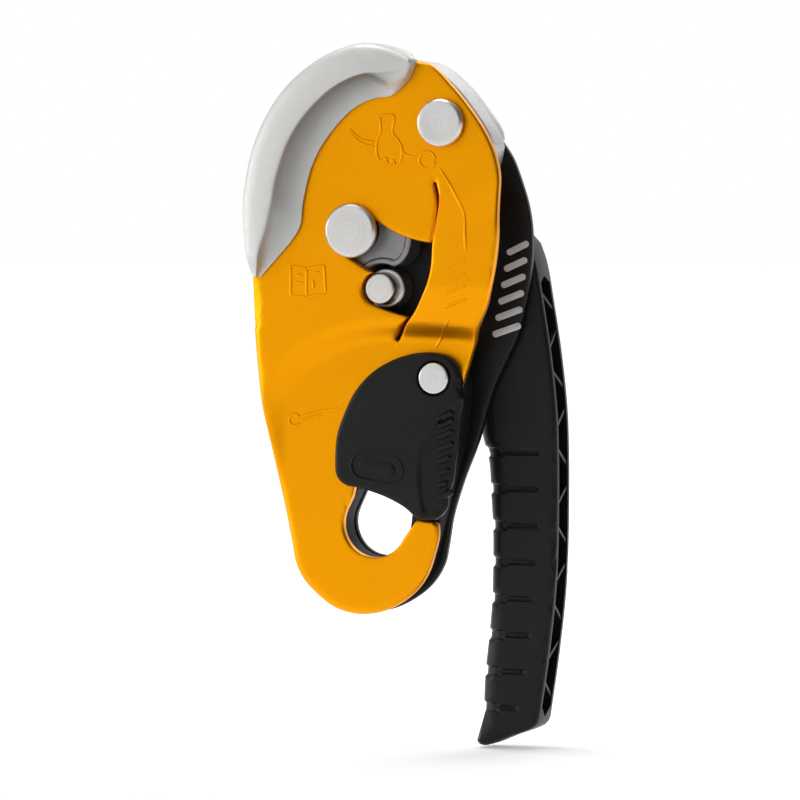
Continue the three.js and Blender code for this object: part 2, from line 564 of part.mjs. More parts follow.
const gripRight = [[52.6, 6], [51.9, -18], [49.7, -38.7], [46.8, -58.2]];
const gripLeft = [[28.2, -55.5], [28.7, -45], [29.8, -34.8], [30.8, -23.7], [31.1, -12.6], [31.1, -2.4],
  [30.5, 8.7]];
const armRight = [[43.5, 84], [45.6, 78], [47.8, 66], [49.9, 53], [51.4, 41], [52.3, 29.7]];
const armInner = [[29.8, 18.9], [27.9, 26], [26.5, 38], [24, 49], [18.5, 58.5], [11, 65.6]];
const handleOutline = outline(
  run([[12, 103.4], [24, 99.6], [36, 92]].map(up), 3), run([...armRight.map(up), ...gripRight.map(low)], 2),
  [low([45.7, -60.3]), low([29.8, -67.2]), low([27, -66.6]), low([26.6, -64.6])],
  run([...gripLeft.map(low), ...armInner.map(up)], 2), arc(axle, hubRadius, -52, -292, 24));
const pocketOutline = outline(run([up([40, 73]), up([34, 66]), up([34.5, 52]), up([36, 36]), low([37.4, 8]),
  low([37.4, -14]), low([35.6, -36]), low([33.6, -56.6])], 2), [low([70, -56.6]), up([70, 73])]);
const pocketFront = handleFront + handleWall;
const pocketRear = handleRear - handleWall;
const ribPitch = 11.65;
const ribThickness = 1.5;
const ribRise = 5.6;
const ribCount = Math.floor((up([0, 72])[1] - low([0, -56])[1]) / ribPitch);

// One rib leans across the pocket, front end high or low in turn.
function rib(k) {
  const middle = up([0, 66.8])[1] - k * ribPitch;
  const lean = (k % 2 === 0 ? ribRise : -ribRise) / 2;
  const [front, rear] = [pocketFront - 0.5, pocketRear + 0.5];
  const shape = new THREE.Shape([[front, middle + lean - ribThickness / 2], [rear,
    middle - lean - ribThickness / 2],
    [rear, middle - lean + ribThickness / 2], [front, middle + lean + ribThickness / 2]]
    .map(([y, z]) => new THREE.Vector2(y, z)));
  const geometry = new THREE.ExtrudeGeometry(shape, { depth: 60, bevelEnabled: false });
  geometry.applyMatrix4(new THREE.Matrix4().set(0, 0, 1, 20, 1, 0, 0, 0, 0, 1, 0, 0, 0, 0, 0, 1));
  return toSolid(geometry);
}

const ribInset = 1;                               // the ribs stop short of the handle's open side
const ribBounds = slab(handleOutline.map(([x, z]) => [x - ribInset, z]), pocketFront - 0.5, pocketRear + 0.5);
const ribs = Array.from({ length: ribCount }, (_, k) => rib(k).intersect(ribBounds));
const grooves = Array.from({ length: grooveCount }, (_, k) => {
  const z = low([0, 21.5])[1] - k * groovePitch;
  return slab([[20, z - 2.2], [33, z - 0.5], [33, z + 0.5], [20, z + 2.2]], handleFront - 1, handleRear + 1);
});
const hubPocketFront = handleFront + 5.4;
add('handle', cut(join(cut(slab(handleOutline, handleFront, handleRear), slab(pocketOutline, pocketFront,
  pocketRear)),
  ...ribs), ...grooves, drill(axle, bushOuter + gap),
ring(axle, bushOuter - 0.5, bushOuter + 4.6, hubPocketFront, handleRear + 1),
curvedSlot(pegReach, pegRadius + gap, pegAngle - (handleTurn - camTurn) - 2 * pegSlack,
  pegAngle + 2 * pegSlack,
  handleFront - 1, handleFront + 3.6)), materials.blackPlastic);
add('hub_bush', ring(axle, axleRadius + gap, bushOuter, handleFront + gap, handleRear), materials.bronze);
add('handle_return_spring', coil(axle, bushOuter + 2.6, hubPocketFront + 1.4, handleRear - 1.4, 2.4, 1.8),
  materials.steel);
add('hub_cap', ring(axle, axleRadius + gap, hubRadius - 4.4, handleRear + gap, handleRear + 1.2),
  materials.blackPlastic);
add('hub_washer', ring(axle, axleRadius + gap, axleHeadRadius, washerFront - 0.6, washerFront + 0.8),
  materials.turned);

export default object;
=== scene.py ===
"""A belay device's finished surfaces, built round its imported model.

The operators in this file make each piece as a surface worked out with numpy. Outlines are in
millimetres in the plates' own plane: X across the plates and Z up, from the carabiner hole's middle.
Y runs through the plates, and the front is -Y. Everything is turned into metres when a mesh is made.
"""

import bpy
import numpy as np
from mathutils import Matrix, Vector
from mathutils.geometry import delaunay_2d_cdt


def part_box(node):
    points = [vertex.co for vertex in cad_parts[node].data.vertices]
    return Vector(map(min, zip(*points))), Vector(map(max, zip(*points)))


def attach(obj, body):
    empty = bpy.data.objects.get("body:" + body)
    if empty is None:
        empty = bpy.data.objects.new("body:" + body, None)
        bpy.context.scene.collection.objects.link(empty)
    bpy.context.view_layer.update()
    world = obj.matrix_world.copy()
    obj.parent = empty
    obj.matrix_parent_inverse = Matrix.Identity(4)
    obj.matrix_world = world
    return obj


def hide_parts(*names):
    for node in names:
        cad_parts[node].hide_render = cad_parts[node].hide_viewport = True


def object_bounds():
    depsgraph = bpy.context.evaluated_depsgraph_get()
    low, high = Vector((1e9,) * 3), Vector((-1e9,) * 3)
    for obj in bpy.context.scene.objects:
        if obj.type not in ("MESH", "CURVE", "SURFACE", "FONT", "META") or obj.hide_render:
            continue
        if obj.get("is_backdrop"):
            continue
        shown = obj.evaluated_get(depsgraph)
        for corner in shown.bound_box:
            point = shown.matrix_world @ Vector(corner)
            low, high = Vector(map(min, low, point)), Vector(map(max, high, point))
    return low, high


bl_info = {
    "name": "Rope Brake Builder",
    "version": (1, 0, 0),
    "blender": (4, 5, 0),
    "location": "View3D > Sidebar > Rope Brake",
    "description": "Builds the finished surfaces of a self-braking belay device",
    "category": "Add Mesh",
}

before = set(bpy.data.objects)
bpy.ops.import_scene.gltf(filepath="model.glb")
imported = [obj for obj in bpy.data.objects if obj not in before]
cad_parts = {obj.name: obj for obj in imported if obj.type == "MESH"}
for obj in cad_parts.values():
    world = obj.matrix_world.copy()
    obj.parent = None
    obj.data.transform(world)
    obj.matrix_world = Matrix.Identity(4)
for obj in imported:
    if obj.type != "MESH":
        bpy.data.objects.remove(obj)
CAD_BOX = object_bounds()

MM = 0.001
GAP = 0.3  # clearance between pieces that touch
RING_SHARES = (0.07, 0.3, 0.62, 1.0)  # where a rounded edge gets its rings of points


# ---------------------------------------------------------------- places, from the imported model


def middle(node):
    """The middle of a CAD piece in the plates' plane, in millimetres."""
    low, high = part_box(node)
    return np.array([low.x + high.x, low.z + high.z]) / 2 / MM


def depth(node):
    """The front and the back of a CAD piece, in millimetres."""
    low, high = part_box(node)
    return low.y / MM, high.y / MM


PIVOT = middle("plate_pivot_rivet")
AXLE = middle("cam_axle")
PIN = middle("stop_pin")
GATE_RIVET = middle("gate_rivet")
BACK_FRONT, BACK_REAR = depth("fixed_side_plate")
PROUD = 0.06            # flush ends stand this much out of a plate, so that no two faces share a plane
THICK = BACK_REAR - BACK_FRONT
LOW_REAR = depth("moving_side_plate")[1]
LOW_FRONT = LOW_REAR - THICK
HIGH_FRONT = depth("plate_pivot_washer")[1] + GAP
STRIP_FRONT = depth("moving_side_plate")[0]
HANDLE_FRONT, HANDLE_REAR = depth("handle")
DRAWN_PIVOT = np.array([23.0, 120.0])  # where the outlines' upper points take the pivot to be


def up(points):
    """Outline points that follow the top rivet."""
    return np.asarray(points, float) + (PIVOT - DRAWN_PIVOT)


# ---------------------------------------------------------------- curves


def run(knots, steps=5):
    """A centripetal Catmull-Rom curve through the knots, with `steps` pieces between neighbours.

    Between two knots it is the Hermite cubic whose end slopes come from the neighbouring knots,
    each weighted by the square root of its distance.
    """
    p = np.asarray(knots, float)
    p = np.vstack([2 * p[0] - p[1], p, 2 * p[-1] - p[-2]])
    root = np.sqrt(np.linalg.norm(np.diff(p, axis=0), axis=1))[:, None]
    a, b, c = root[:-2], root[1:-1], root[2:]
    start, end = p[1:-2], p[2:-1]
    leave = b * ((start - p[:-3]) / a - (end - p[:-3]) / (a + b) + (end - start) / b)
    enter = b * ((end - start) / b - (p[3:] - start) / (b + c) + (p[3:] - end) / c)
    t = np.linspace(0, 1, steps, endpoint=False)[None, :, None]
    start, end, leave, enter = (v[:, None, :] for v in (start, end, leave, enter))
    cubic = start + leave * t + (3 * (end - start) - 2 * leave - enter) * t**2
    cubic = cubic + (2 * (start - end) + leave + enter) * t**3
    return np.vstack([cubic.reshape(-1, p.shape[1]), p[-2]])


def arc(centre, radius, start, end, spacing=0.8):
    """Points on a circle, from one angle to another in degrees, from +X towards +Z."""
    count = max(3, int(abs(np.radians(end - start)) * radius / spacing))
    angle = np.radians(np.linspace(start, end, count + 1))
    return np.asarray(centre) + radius * np.stack([np.cos(angle), np.sin(angle)], axis=1)


def bearing(point, centre):
    """The direction of a point from a centre, in degrees."""
    across, along = np.asarray(point, float) - np.asarray(centre, float)
    return np.degrees(np.arctan2(along, across))


def outline(*runs):
    """Runs end to end as one closed loop, with doubled points dropped."""
    points = np.vstack(runs)
    far = np.linalg.norm(points - np.roll(points, 1, axis=0), axis=1) > 0.08
    return points[far]


def smoothstep(t):
    """0 below 0, 1 above 1, and the cubic 3t^2 - 2t^3 between."""
    t = np.clip(t, 0, 1)
    return t * t * (3 - 2 * t)


def ramp(t, ends=0.25):
    """0 below 0, 1 above 1, and a straight climb between whose two ends are eased over a share of it."""
    t = np.clip(t, 0, 1)
    slope = 1 / (1 - ends)
    half = np.minimum(t, 1 - t)
    climb = np.where(half < ends, slope * half**2 / (2 * ends), slope * (half - ends / 2))
    return np.where(t < 0.5, climb, 1 - climb)


def inside(points, loop):
    """Whether each point is inside a closed loop: a ray from it crosses the loop an odd number of times."""
    a, b = loop, np.roll(loop, -1, axis=0)
    x, z = points[:, :1], points[:, 1:]
    spans = (a[:, 1] > z) != (b[:, 1] > z)
    rise = np.where(b[:, 1] == a[:, 1], 1, b[:, 1] - a[:, 1])
    return (spans & (x < a[:, 0] + (z - a[:, 1]) * (b[:, 0] - a[:, 0]) / rise)).sum(axis=1) % 2 == 1


def edge_distance(points, loops):
    """Each point's distance to the nearest side of the loops."""
    nearest = np.full(len(points), np.inf)
    for loop in loops:
        side = np.roll(loop, -1, axis=0) - loop
        offset = points[:, None, :] - loop[None]
        share = np.clip((offset * side).sum(axis=2) / (side**2).sum(axis=1), 0, 1)
        gap = np.linalg.norm(offset - share[..., None] * side, axis=2)
        nearest = np.minimum(nearest, gap.min(axis=1))
    return nearest


# ---------------------------------------------------------------- meshes


def piece(name, points, faces, body, material, replaces=(), crease=38):
    """A finished piece from points in millimetres, smooth but where it turns by over `crease` degrees."""
    mesh = bpy.data.meshes.new(name)
    mesh.from_pydata((np.asarray(points) * MM).tolist(), [], [list(map(int, face)) for face in faces])
    mesh.validate()
    mesh.shade_smooth()
    mesh.set_sharp_from_angle(angle=np.radians(crease))
    obj = bpy.data.objects.new(name, mesh)
    bpy.context.scene.collection.objects.link(obj)
    mesh.materials.append(material)
    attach(obj, body)
    if replaces:
        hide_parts(*replaces)
    return obj


def grid_faces(rows, columns, closed=True, start=0):
    """Quads over a grid of points, joined round its columns when `closed`."""
    i = np.arange(rows - 1)[:, None] * columns
    j = np.arange(columns if closed else columns - 1)[None, :]
    k = (j + 1) % columns
    quads = np.stack(np.broadcast_arrays(i + j, i + k, i + columns + k, i + columns + j), axis=-1)
    return (quads.reshape(-1, 4) + start).tolist()


def merge_parts(parts):
    """Several (points, faces) parts as one."""
    points, faces, count = [], [], 0
    for part_points, part_faces in parts:
        points.append(np.asarray(part_points, float))
        faces += [[v + count for v in face] for face in part_faces]
        count += len(part_points)
    return np.vstack(points), faces


def facing_out(points, faces):
    """The faces, all turned over if the solid that they close is inside out."""
    p = np.asarray(points, float)
    fan = np.array([[f[0], f[i], f[i + 1]] for f in faces for i in range(1, len(f) - 1)])
    volume = (np.cross(p[fan[:, 0]], p[fan[:, 1]]) * p[fan[:, 2]]).sum()
    return [face[::-1] for face in faces] if volume < 0 else faces


def loft(sections):
    """A solid skin through closed sections of equal length, with a flat face on each end."""
    sections = np.asarray(sections, float)
    rows, columns = sections.shape[:2]
    points = sections.reshape(-1, 3)
    last = (rows - 1) * columns
    faces = grid_faces(rows, columns) + [list(range(columns))[::-1], [last + j for j in range(columns)]]
    return points, facing_out(points, faces)


def rounded(profile, radius, steps=4):
    """A profile whose corners are quadratic curves, from `radius` before each to `radius` after it."""
    p = np.asarray(profile, float)
    before, corner, after = p[:-2], p[1:-1], p[2:]
    back, ahead = before - corner, after - corner
    lengths = np.linalg.norm(back, axis=1), np.linalg.norm(ahead, axis=1)
    cut = [np.minimum(radius, 0.45 * length)[:, None] / length[:, None] for length in lengths]
    enter, leave = corner + back * cut[0], corner + ahead * cut[1]
    t = np.linspace(0, 1, steps + 1)[None, :, None]
    curve = (1 - t) ** 2 * enter[:, None] + 2 * t * (1 - t) * corner[:, None] + t**2 * leave[:, None]
    return np.vstack([p[:1], curve.reshape(-1, 2), p[-1:]])


def turned(centre, profile, radius=0.35, segments=96):
    """A turned solid about an axis along Y: the rounded profile of (radius, y) is carried round a circle.

    The profile starts and ends off the axis by a hair, and each end is closed by a flat face.
    """
    p = rounded(profile, radius)
    p[:, 0] = np.maximum(p[:, 0], 0.05)
    angle = np.linspace(0, 2 * np.pi, segments, endpoint=False)
    x = centre[0] + p[:, :1] * np.cos(angle)
    z = centre[1] + p[:, :1] * np.sin(angle)
    return loft(np.stack([x, np.broadcast_to(p[:, 1:], x.shape), z], axis=-1))


def plate(outer, holes, front, back, edge=0.6, back_edge=0.4, spacing=1.6, extra=()):
    """A plate of any outline with rounded edges.

    Its faces are a triangulation of the outlines' points, of rings just inside them, of an even grid
    and of any extra points. A face's depth is front(x, z, d) or back(x, z, d), where d is the distance
    to the outline, and near the outline it falls away as a quarter circle of the edge's radius, which
    is a number or a function of x and z. The walls are a grid between the two faces' outlines.
    """
    loops = [np.asarray(loop) for loop in (outer, *holes)]
    radii = [radius if callable(radius) else (lambda x, z, r=radius: np.full(x.shape, float(r)))
             for radius in (edge, back_edge)]

    def within(points):
        return np.logical_xor.reduce([inside(points, loop) for loop in loops])

    rings = []
    for share in RING_SHARES:
        for loop in loops:
            tangent = np.roll(loop, -1, axis=0) - np.roll(loop, 1, axis=0)
            tangent /= np.linalg.norm(tangent, axis=1)[:, None] + 1e-9
            normal = np.stack([-tangent[:, 1], tangent[:, 0]], axis=1)
            reach = share * np.maximum(radii[0](*loop.T), radii[1](*loop.T))[:, None]
            for side in (1, -1):
                ring = loop + side * reach * normal
                clear = edge_distance(ring, loops) > 0.93 * reach[:, 0]
                rings.append(ring[within(ring) & clear])
    low, high = loops[0].min(axis=0), loops[0].max(axis=0)
    grid = np.stack(np.meshgrid(np.arange(low[0] + spacing / 2, high[0], spacing),
                                np.arange(low[1] + spacing / 2, high[1], spacing * 0.866)), axis=-1)
    grid[1::2, :, 0] += spacing / 2
    grid = grid.reshape(-1, 2)
    grid = grid[within(grid)]
    limit = np.maximum(radii[0](*grid.T), radii[1](*grid.T)) + 0.3 * spacing
    grid = grid[edge_distance(grid, loops) > limit]
    if len(extra):
        extra = np.asarray(extra)
        extra = extra[within(extra)]
        extra = extra[edge_distance(extra, loops) > 0.25]
        rings.append(extra)
    flat = np.vstack([*loops, *rings, grid])
    sides, first = [], 0
    for loop in loops:
        index = first + np.arange(len(loop))
        sides.append(np.stack([index, np.roll(index, -1)], axis=1))
        first += len(loop)
    result = delaunay_2d_cdt([Vector(p) for p in flat.tolist()], np.vstack(sides).tolist(), [], 0, 1e-5)
    place = np.array([tuple(v) for v in result[0]])
    triangles = np.array(result[2])
    triangles = triangles[within(place[triangles].mean(axis=1))]
    corner = place[triangles]
    turn = np.cross(corner[:, 1] - corner[:, 0], corner[:, 2] - corner[:, 0])
    triangles[turn < 0] = triangles[turn < 0][:, ::-1]
    triangles = triangles[np.abs(turn) > 1e-9]
    ends = np.vstack([triangles[:, [0, 1]], triangles[:, [1, 2]], triangles[:, [2, 0]]])
    key = ends[:, 0] * len(place) + ends[:, 1]
    border = ends[~np.isin(key, ends[:, 1] * len(place) + ends[:, 0])]
    distance = edge_distance(place, loops)
    distance[border.ravel()] = 0
    x, z = place.T

    def fall(radius):
        radius = radius(x, z)
        return radius - np.sqrt(np.maximum(0, radius**2 - np.clip(radius - distance, 0, None) ** 2))

    y_front = front(x, z, distance) + fall(radii[0])
    y_back = back(x, z, distance) - fall(radii[1])
    count = len(place)
    points = np.vstack([np.stack([x, y_front, z], axis=1), np.stack([x, y_back, z], axis=1)])
    walls = np.stack([border[:, 1], border[:, 0], border[:, 0] + count, border[:, 1] + count], axis=1)
    faces = triangles.tolist() + (triangles[:, ::-1] + count).tolist() + walls.tolist()
    used = np.unique(np.concatenate([triangles.ravel(), triangles.ravel() + count]))
    renumber = np.full(2 * count, -1)
    renumber[used] = np.arange(len(used))
    faces = [[int(renumber[v]) for v in face] for face in faces]
    points = points[used]
    return points, facing_out(points, faces)


def level(y):
    """A face at one depth."""
    return lambda x, z, d: np.full(x.shape, float(y))


def ridge(path, width, height, front, sunk=0.15, columns=9):
    """A low bar along a path on a face: its section is half an ellipse, and its ends are tapered."""
    path = np.asarray(path, float)
    tangent = np.gradient(path, axis=0)
    tangent /= np.linalg.norm(tangent, axis=1)[:, None] + 1e-9
    normal = np.stack([-tangent[:, 1], tangent[:, 0]], axis=1)
    travel = np.concatenate([[0], np.cumsum(np.linalg.norm(np.diff(path, axis=0), axis=1))])
    end = np.clip(np.minimum(travel, travel[-1] - travel) / (0.5 * width), 0, 1)
    taper = np.sqrt(np.maximum(0.06, 1 - (1 - end) ** 2))[:, None]
    angle = np.linspace(0, np.pi, columns)
    across = np.cos(angle)[None, :] * taper * width / 2
    x = path[:, :1] + normal[:, :1] * across
    z = path[:, 1:] + normal[:, 1:] * across
    y = front(x, z)
    top = y - np.sin(angle)[None, :] * height * taper
    low = y[:, ::-1] + sunk
    return loft(np.stack([np.hstack([x, x[:, ::-1]]), np.hstack([top, low]), np.hstack([z, z[:, ::-1]])],
                         axis=-1))


# ---------------------------------------------------------------- materials


class Wire:
    """A socket of a material's nodes. Arithmetic on it adds Math nodes."""

    def __init__(self, graph, socket):
        self.graph, self.socket = graph, socket

    def math(self, operation, *values):
        return self.graph.node("ShaderNodeMath", {"operation": operation}, dict(enumerate(values)))

    def __add__(self, other):
        return self.math("ADD", self, other)

    def __rsub__(self, other):
        return self.math("SUBTRACT", other, self)

    def __mul__(self, other):
        return self.math("MULTIPLY", self, other)

    __radd__ = __add__
    __rmul__ = __mul__


class Finish:
    """A material under construction: one Principled shader, fed by wires and numbers."""

    def __init__(self, name):
        self.material = bpy.data.materials.new(name)
        self.material.use_nodes = True
        self.nodes = self.material.node_tree.nodes
        self.links = self.material.node_tree.links
        self.shader = next(node for node in self.nodes if node.type == "BSDF_PRINCIPLED")

    def node(self, kind, settings=None, inputs=None, output=0):
        """Adds a node, makes its settings, then fills its sockets with numbers, colours or wires."""
        node = self.nodes.new(kind)
        for key, value in (settings or {}).items():
            if key == "stops":
                ramp = node.color_ramp
                while len(ramp.elements) < len(value):
                    ramp.elements.new(1)
                for element, (place, colour) in zip(ramp.elements, value):
                    element.position, element.color = place, (*colour, 1)
            else:
                setattr(node, key, value)
        for key, value in (inputs or {}).items():
            self.plug(node.inputs[key], value)
        return Wire(self, node.outputs[output])

    def plug(self, socket, value):
        if isinstance(value, Wire):
            self.links.new(value.socket, socket)
        else:
            socket.default_value = value

    def place(self, centre=(0, 0, 0), scale=(1, 1, 1)):
        """Object coordinates, measured from a centre given in metres."""
        there = self.node("ShaderNodeTexCoord", output="Object")
        shift = tuple(-c * s for c, s in zip(centre, scale))
        return self.node("ShaderNodeMapping", None, {"Vector": there, "Location": shift, "Scale": scale})

    def noise(self, where, scale, detail=3.0, rough=0.5):
        return self.node("ShaderNodeTexNoise", None,
                         {"Vector": where, "Scale": scale, "Detail": detail, "Roughness": rough})

    def blend(self, factor, first, second):
        """Two colours mixed by a factor."""
        return self.node("ShaderNodeMix", {"data_type": "RGBA"}, {0: factor, 6: first, 7: second}, 2)

    def bump(self, height, strength, distance):
        return self.node("ShaderNodeBump", None,
                         {"Height": height, "Strength": strength, "Distance": distance})

    def done(self, **sockets):
        """Fills the shader's sockets, named with _ for each space."""
        for name, value in sockets.items():
            self.plug(self.shader.inputs[name.replace("_", " ")], value)
        return self.material


def linear(hue, scale=1.0):
    """A colour property as a shader colour."""
    return (hue[0] * scale, hue[1] * scale, hue[2] * scale, 1.0)


def kept(make):
    """Makes each material once, and gives the same one to every piece that asks for it again."""
    def lookup(name, *arguments):
        return bpy.data.materials.get(name) or make(name, *arguments)
    return lookup


@kept
def anodised(name, hue):
    """Dyed anodising: an even satin with a fine blasted grain and a faint drift in its colour."""
    finish = Finish(name)
    where = finish.place()
    grain = finish.noise(where, 2600, 2)
    drift = finish.noise(where, 28, 3)
    speck = finish.noise(where, 700, 4, 0.7)
    colour = finish.blend(drift * 0.6 + speck * 0.4, linear(hue, 0.9), linear(hue, 1.08))
    return finish.done(Base_Color=colour, Metallic=0.97, Roughness=0.34 + speck * 0.12,
                       Normal=finish.bump(grain, 0.22, 0.00012))


@kept
def blasted_alloy(name, hue):
    """Bead-blasted alloy: a fine dimpled grain, brighter scuffs, and painted shade: a darkening towards near
    black where the attribute `hollow` marks the guard's hollow, standing in for the shade on its inner slope."""
    finish = Finish(name)
    where = finish.place()
    grain = finish.noise(where, 3200, 3, 0.6)
    cloud = finish.noise(where, 90, 4, 0.6)
    scuff = finish.node("ShaderNodeValToRGB", {"stops": [(0.55, (0, 0, 0)), (0.8, (1, 1, 1))]},
                        {"Fac": cloud})
    hollow = finish.node("ShaderNodeAttribute", {"attribute_name": "hollow"}, output="Fac")
    colour = finish.blend(scuff, linear(hue, 0.94), linear(hue, 1.1))
    # Painted shade: the guard's hollow is darkened towards near black wherever the attribute `hollow` is set.
    colour = finish.blend(hollow * 0.7, colour, linear(hue, 0.12))
    return finish.done(Base_Color=colour, Metallic=0.8, Roughness=0.46 - scuff * 0.1 + grain * 0.08,
                       Normal=finish.bump(grain, 0.5, 0.0002))


@kept
def lathe_turned(name, hue, centre):
    """Turned metal: rings of uneven depth about the piece's own axis, from noise along the radius."""
    finish = Finish(name)
    where = finish.place((centre[0] * MM, 0, centre[1] * MM), (1, 0, 1))
    radius = finish.node("ShaderNodeVectorMath", {"operation": "LENGTH"}, {0: where}, "Value")
    rings = finish.node("ShaderNodeTexNoise", {"noise_dimensions": "1D"},
                        {"W": radius, "Scale": 3600.0, "Detail": 4.0, "Roughness": 0.7})
    broad = finish.node("ShaderNodeTexNoise", {"noise_dimensions": "1D"},
                        {"W": radius, "Scale": 700.0, "Detail": 2.0})
    wear = finish.noise(finish.place(), 160, 4)
    tone = rings * 0.55 + broad * 0.3 + wear * 0.15
    colour = finish.blend(tone, linear(hue, 0.55), linear(hue, 1.3))
    return finish.done(Base_Color=colour, Metallic=1.0, Roughness=0.22 + tone * 0.16,
                       Normal=finish.bump(rings, 0.25, 0.0002))


@kept
def plain_steel(name, hue):
    """Satin steel: drawn or cast, with a mottled tone and a fine grain."""
    finish = Finish(name)
    where = finish.place()
    mottle = finish.noise(where, 240, 5, 0.65)
    grain = finish.noise(where, 2200, 3)
    colour = finish.blend(mottle, linear(hue, 0.7), linear(hue, 1.15))
    return finish.done(Base_Color=colour, Metallic=1.0, Roughness=0.3 + mottle * 0.2,
                       Normal=finish.bump(grain, 0.2, 0.0001))


@kept
def moulded_nylon(name, hue, grain_size, gloss):
    """Moulded or coated black: a spark-eroded grain, slightly uneven in tone and gloss."""
    finish = Finish(name)
    where = finish.place()
    grain = finish.noise(where, grain_size, 3, 0.6)
    cloud = finish.noise(where, 60, 4, 0.6)
    colour = finish.blend(cloud, linear(hue, 0.8), linear(hue, 1.35))
    return finish.done(Base_Color=colour, Metallic=0.0, Roughness=gloss + cloud * 0.14,
                       Normal=finish.bump(grain, 0.3, 0.00015), Specular_IOR_Level=0.2)


# ---------------------------------------------------------------- outlines of the front plate

HOLE_RADIUS = 10.0
THROAT_TOP = np.array([2.5, 9.0])      # middle of the hole's upper, smaller arc
THROAT_TAPER = 1.5                    # how much smaller that arc is
SLOT_RADIUS = float(np.linalg.norm(AXLE - PIVOT))
PIN_ARC = float(np.linalg.norm(PIN - PIVOT))
SLOT_HALF = 7.0
PIN_SEAT = 5.25
LEFT_FLANK = np.vstack([up([[-37.4, 58], [-36.6, 48], [-34.8, 33]]), [[-32.2, 19.2], [-29.7, 6.9]]])
BOTTOM_EDGE = [[-27.1, -5.4], [-25.8, -12], [-23.3, -17.1], [-18.5, -21.9], [-13.4, -25.4], [-7, -27.2],
               [-0.3, -26.9], [5, -25.2], [9.8, -22.4], [13.8, -18.8], [16.9, -14], [18.9, -8], [20.1, -3.2],
               [20, 0.4]]
RIGHT_AND_TOP = up([
    [27.2, 41], [28.4, 44], [32.1, 55.2], [38.4, 66.5], [40.6, 74.1], [42.3, 87.6], [41.5, 97], [40.7, 104.7],
    [39.1, 111.3], [35.9, 117.9], [31.1, 124.8], [25.7, 131.1], [19.3, 137.1], [14.2, 138.4], [5, 139.6],
    [-2, 140.4], [-13.5, 136.6], [-22, 130.2], [-28.6, 122], [-33.4, 112.4], [-36, 102.5], [-36.9, 93],
    [-37.2, 84], [-37.6, 74]])
STRIP_EDGE = run(up([[7.4, 54.8], [11, 59.3], [14.8, 63.3], [17.2, 66.8], [19.8, 71.5], [21.3, 76.6],
                     [21.9, 84.3], [22.3, 91], [22.3, 97], [20.9, 102.2]]), 4)
STRIP_REGION = np.vstack([STRIP_EDGE - [0.25, 0], up([[20.9, 103.5], [70, 116], [70, 54.2], [6.9, 54.2]])])
DISH = {"x": 14.0, "z": up([0, 22])[1], "half_width": 47.0, "height": 36.5, "power": 2.5, "wall": 6.8}
LIFT_TOP, LIFT_BOTTOM = up([0, 102])[1], up([0, 54.6])[1]
LIFT_FULL = up([0, 72.5])[1], up([0, 83.5])[1]
LIFT_LEAN = 0.25


def plate_front(x, z):
    """The front plate's outer face: low round the hole, up a smooth wall to the rope's height, and
    higher again along the strip that passes over the axle's head."""
    across = np.abs((x - DISH["x"]) / DISH["half_width"])
    along = np.maximum(0, (z - DISH["z"]) / DISH["height"])
    depth_in = 1 - (across ** DISH["power"] + along ** DISH["power"]) ** (1 / DISH["power"])
    raised = smoothstep(0.5 - depth_in * DISH["height"] / DISH["wall"])
    crest = LIFT_TOP - z + LIFT_LEAN * (x - STRIP_EDGE[0, 0] - 14)
    lift = np.minimum(ramp((z - LIFT_BOTTOM) / (LIFT_FULL[0] - LIFT_BOTTOM)),
                      ramp(crest / (LIFT_TOP - LIFT_FULL[1])))
    lifted = inside(np.stack([np.ravel(x), np.ravel(z)], axis=1), STRIP_REGION).reshape(np.shape(x))
    return LOW_FRONT + raised * (HIGH_FRONT - LOW_FRONT) + lifted * lift * (STRIP_FRONT - HIGH_FRONT)


def front_plate_outline():
    """The plate's edge: flanks, the hook round the hole, the gate's mouth and the top."""
    tip = GATE_RIVET[1] - 1.2
    mouth = 28.6
    return outline(
        run(np.vstack([LEFT_FLANK, BOTTOM_EDGE]), 6),
        arc(GATE_RIVET, tip, bearing([18.6, 1.3], GATE_RIVET), bearing([13.7, 1.5], GATE_RIVET)),
        run([[13.0, 1.1], [11.6, -0.8], [9.9, -3.1], [8.83, -4.69]], 4),
        arc((0, 0), HOLE_RADIUS, -30, -206),
        run([[-7.2, 8], [-6.5, 11], [-6.2, 15], [-4.6, 20]], 4),
        arc(GATE_RIVET, mouth, bearing([-2, 24.5], GATE_RIVET) + 360, 274),
        run([[23.2, 17.5], [23.8, 22], [24.4, 29], [25.6, 35.5], [26.8, 39.4]], 4),
        run(RIGHT_AND_TOP, 6))


def window_outline():
    """The window with its two slits: down the strip's edge, back up, round the pin and the axle."""
    slot_outer = SLOT_RADIUS + SLOT_HALF
    slot_from = bearing(AXLE, PIVOT)
    pin_from = bearing(PIN, PIVOT)
    turn = 180 - np.degrees(np.arccos((PIN_ARC**2 + PIN_SEAT**2 - slot_outer**2) / (2 * PIN_ARC * PIN_SEAT)))
    seat = arc(PIN, PIN_SEAT, pin_from, pin_from - turn)
    foot, mouth = up([12.2, 62.2]), up([19.6, 84.3])
    return outline(
        STRIP_EDGE[::-1],
        run(np.vstack([up([[6.6, 55.4], [9.9, 59.8]]), foot]), 5),
        arc(PIVOT, PIN_ARC + PIN_SEAT, bearing(foot, PIVOT), pin_from),
        seat,
        arc(PIVOT, slot_outer, bearing(seat[-1], PIVOT), slot_from),
        arc(AXLE, SLOT_HALF, slot_from, slot_from - 180),
        arc(PIVOT, SLOT_RADIUS - SLOT_HALF, slot_from, bearing(mouth, PIVOT)),
        run(up([[19.6, 84.3], [20.5, 90], [21.2, 97], [20.2, 102.4]]), 4))


# ---------------------------------------------------------------- outlines of the other pieces

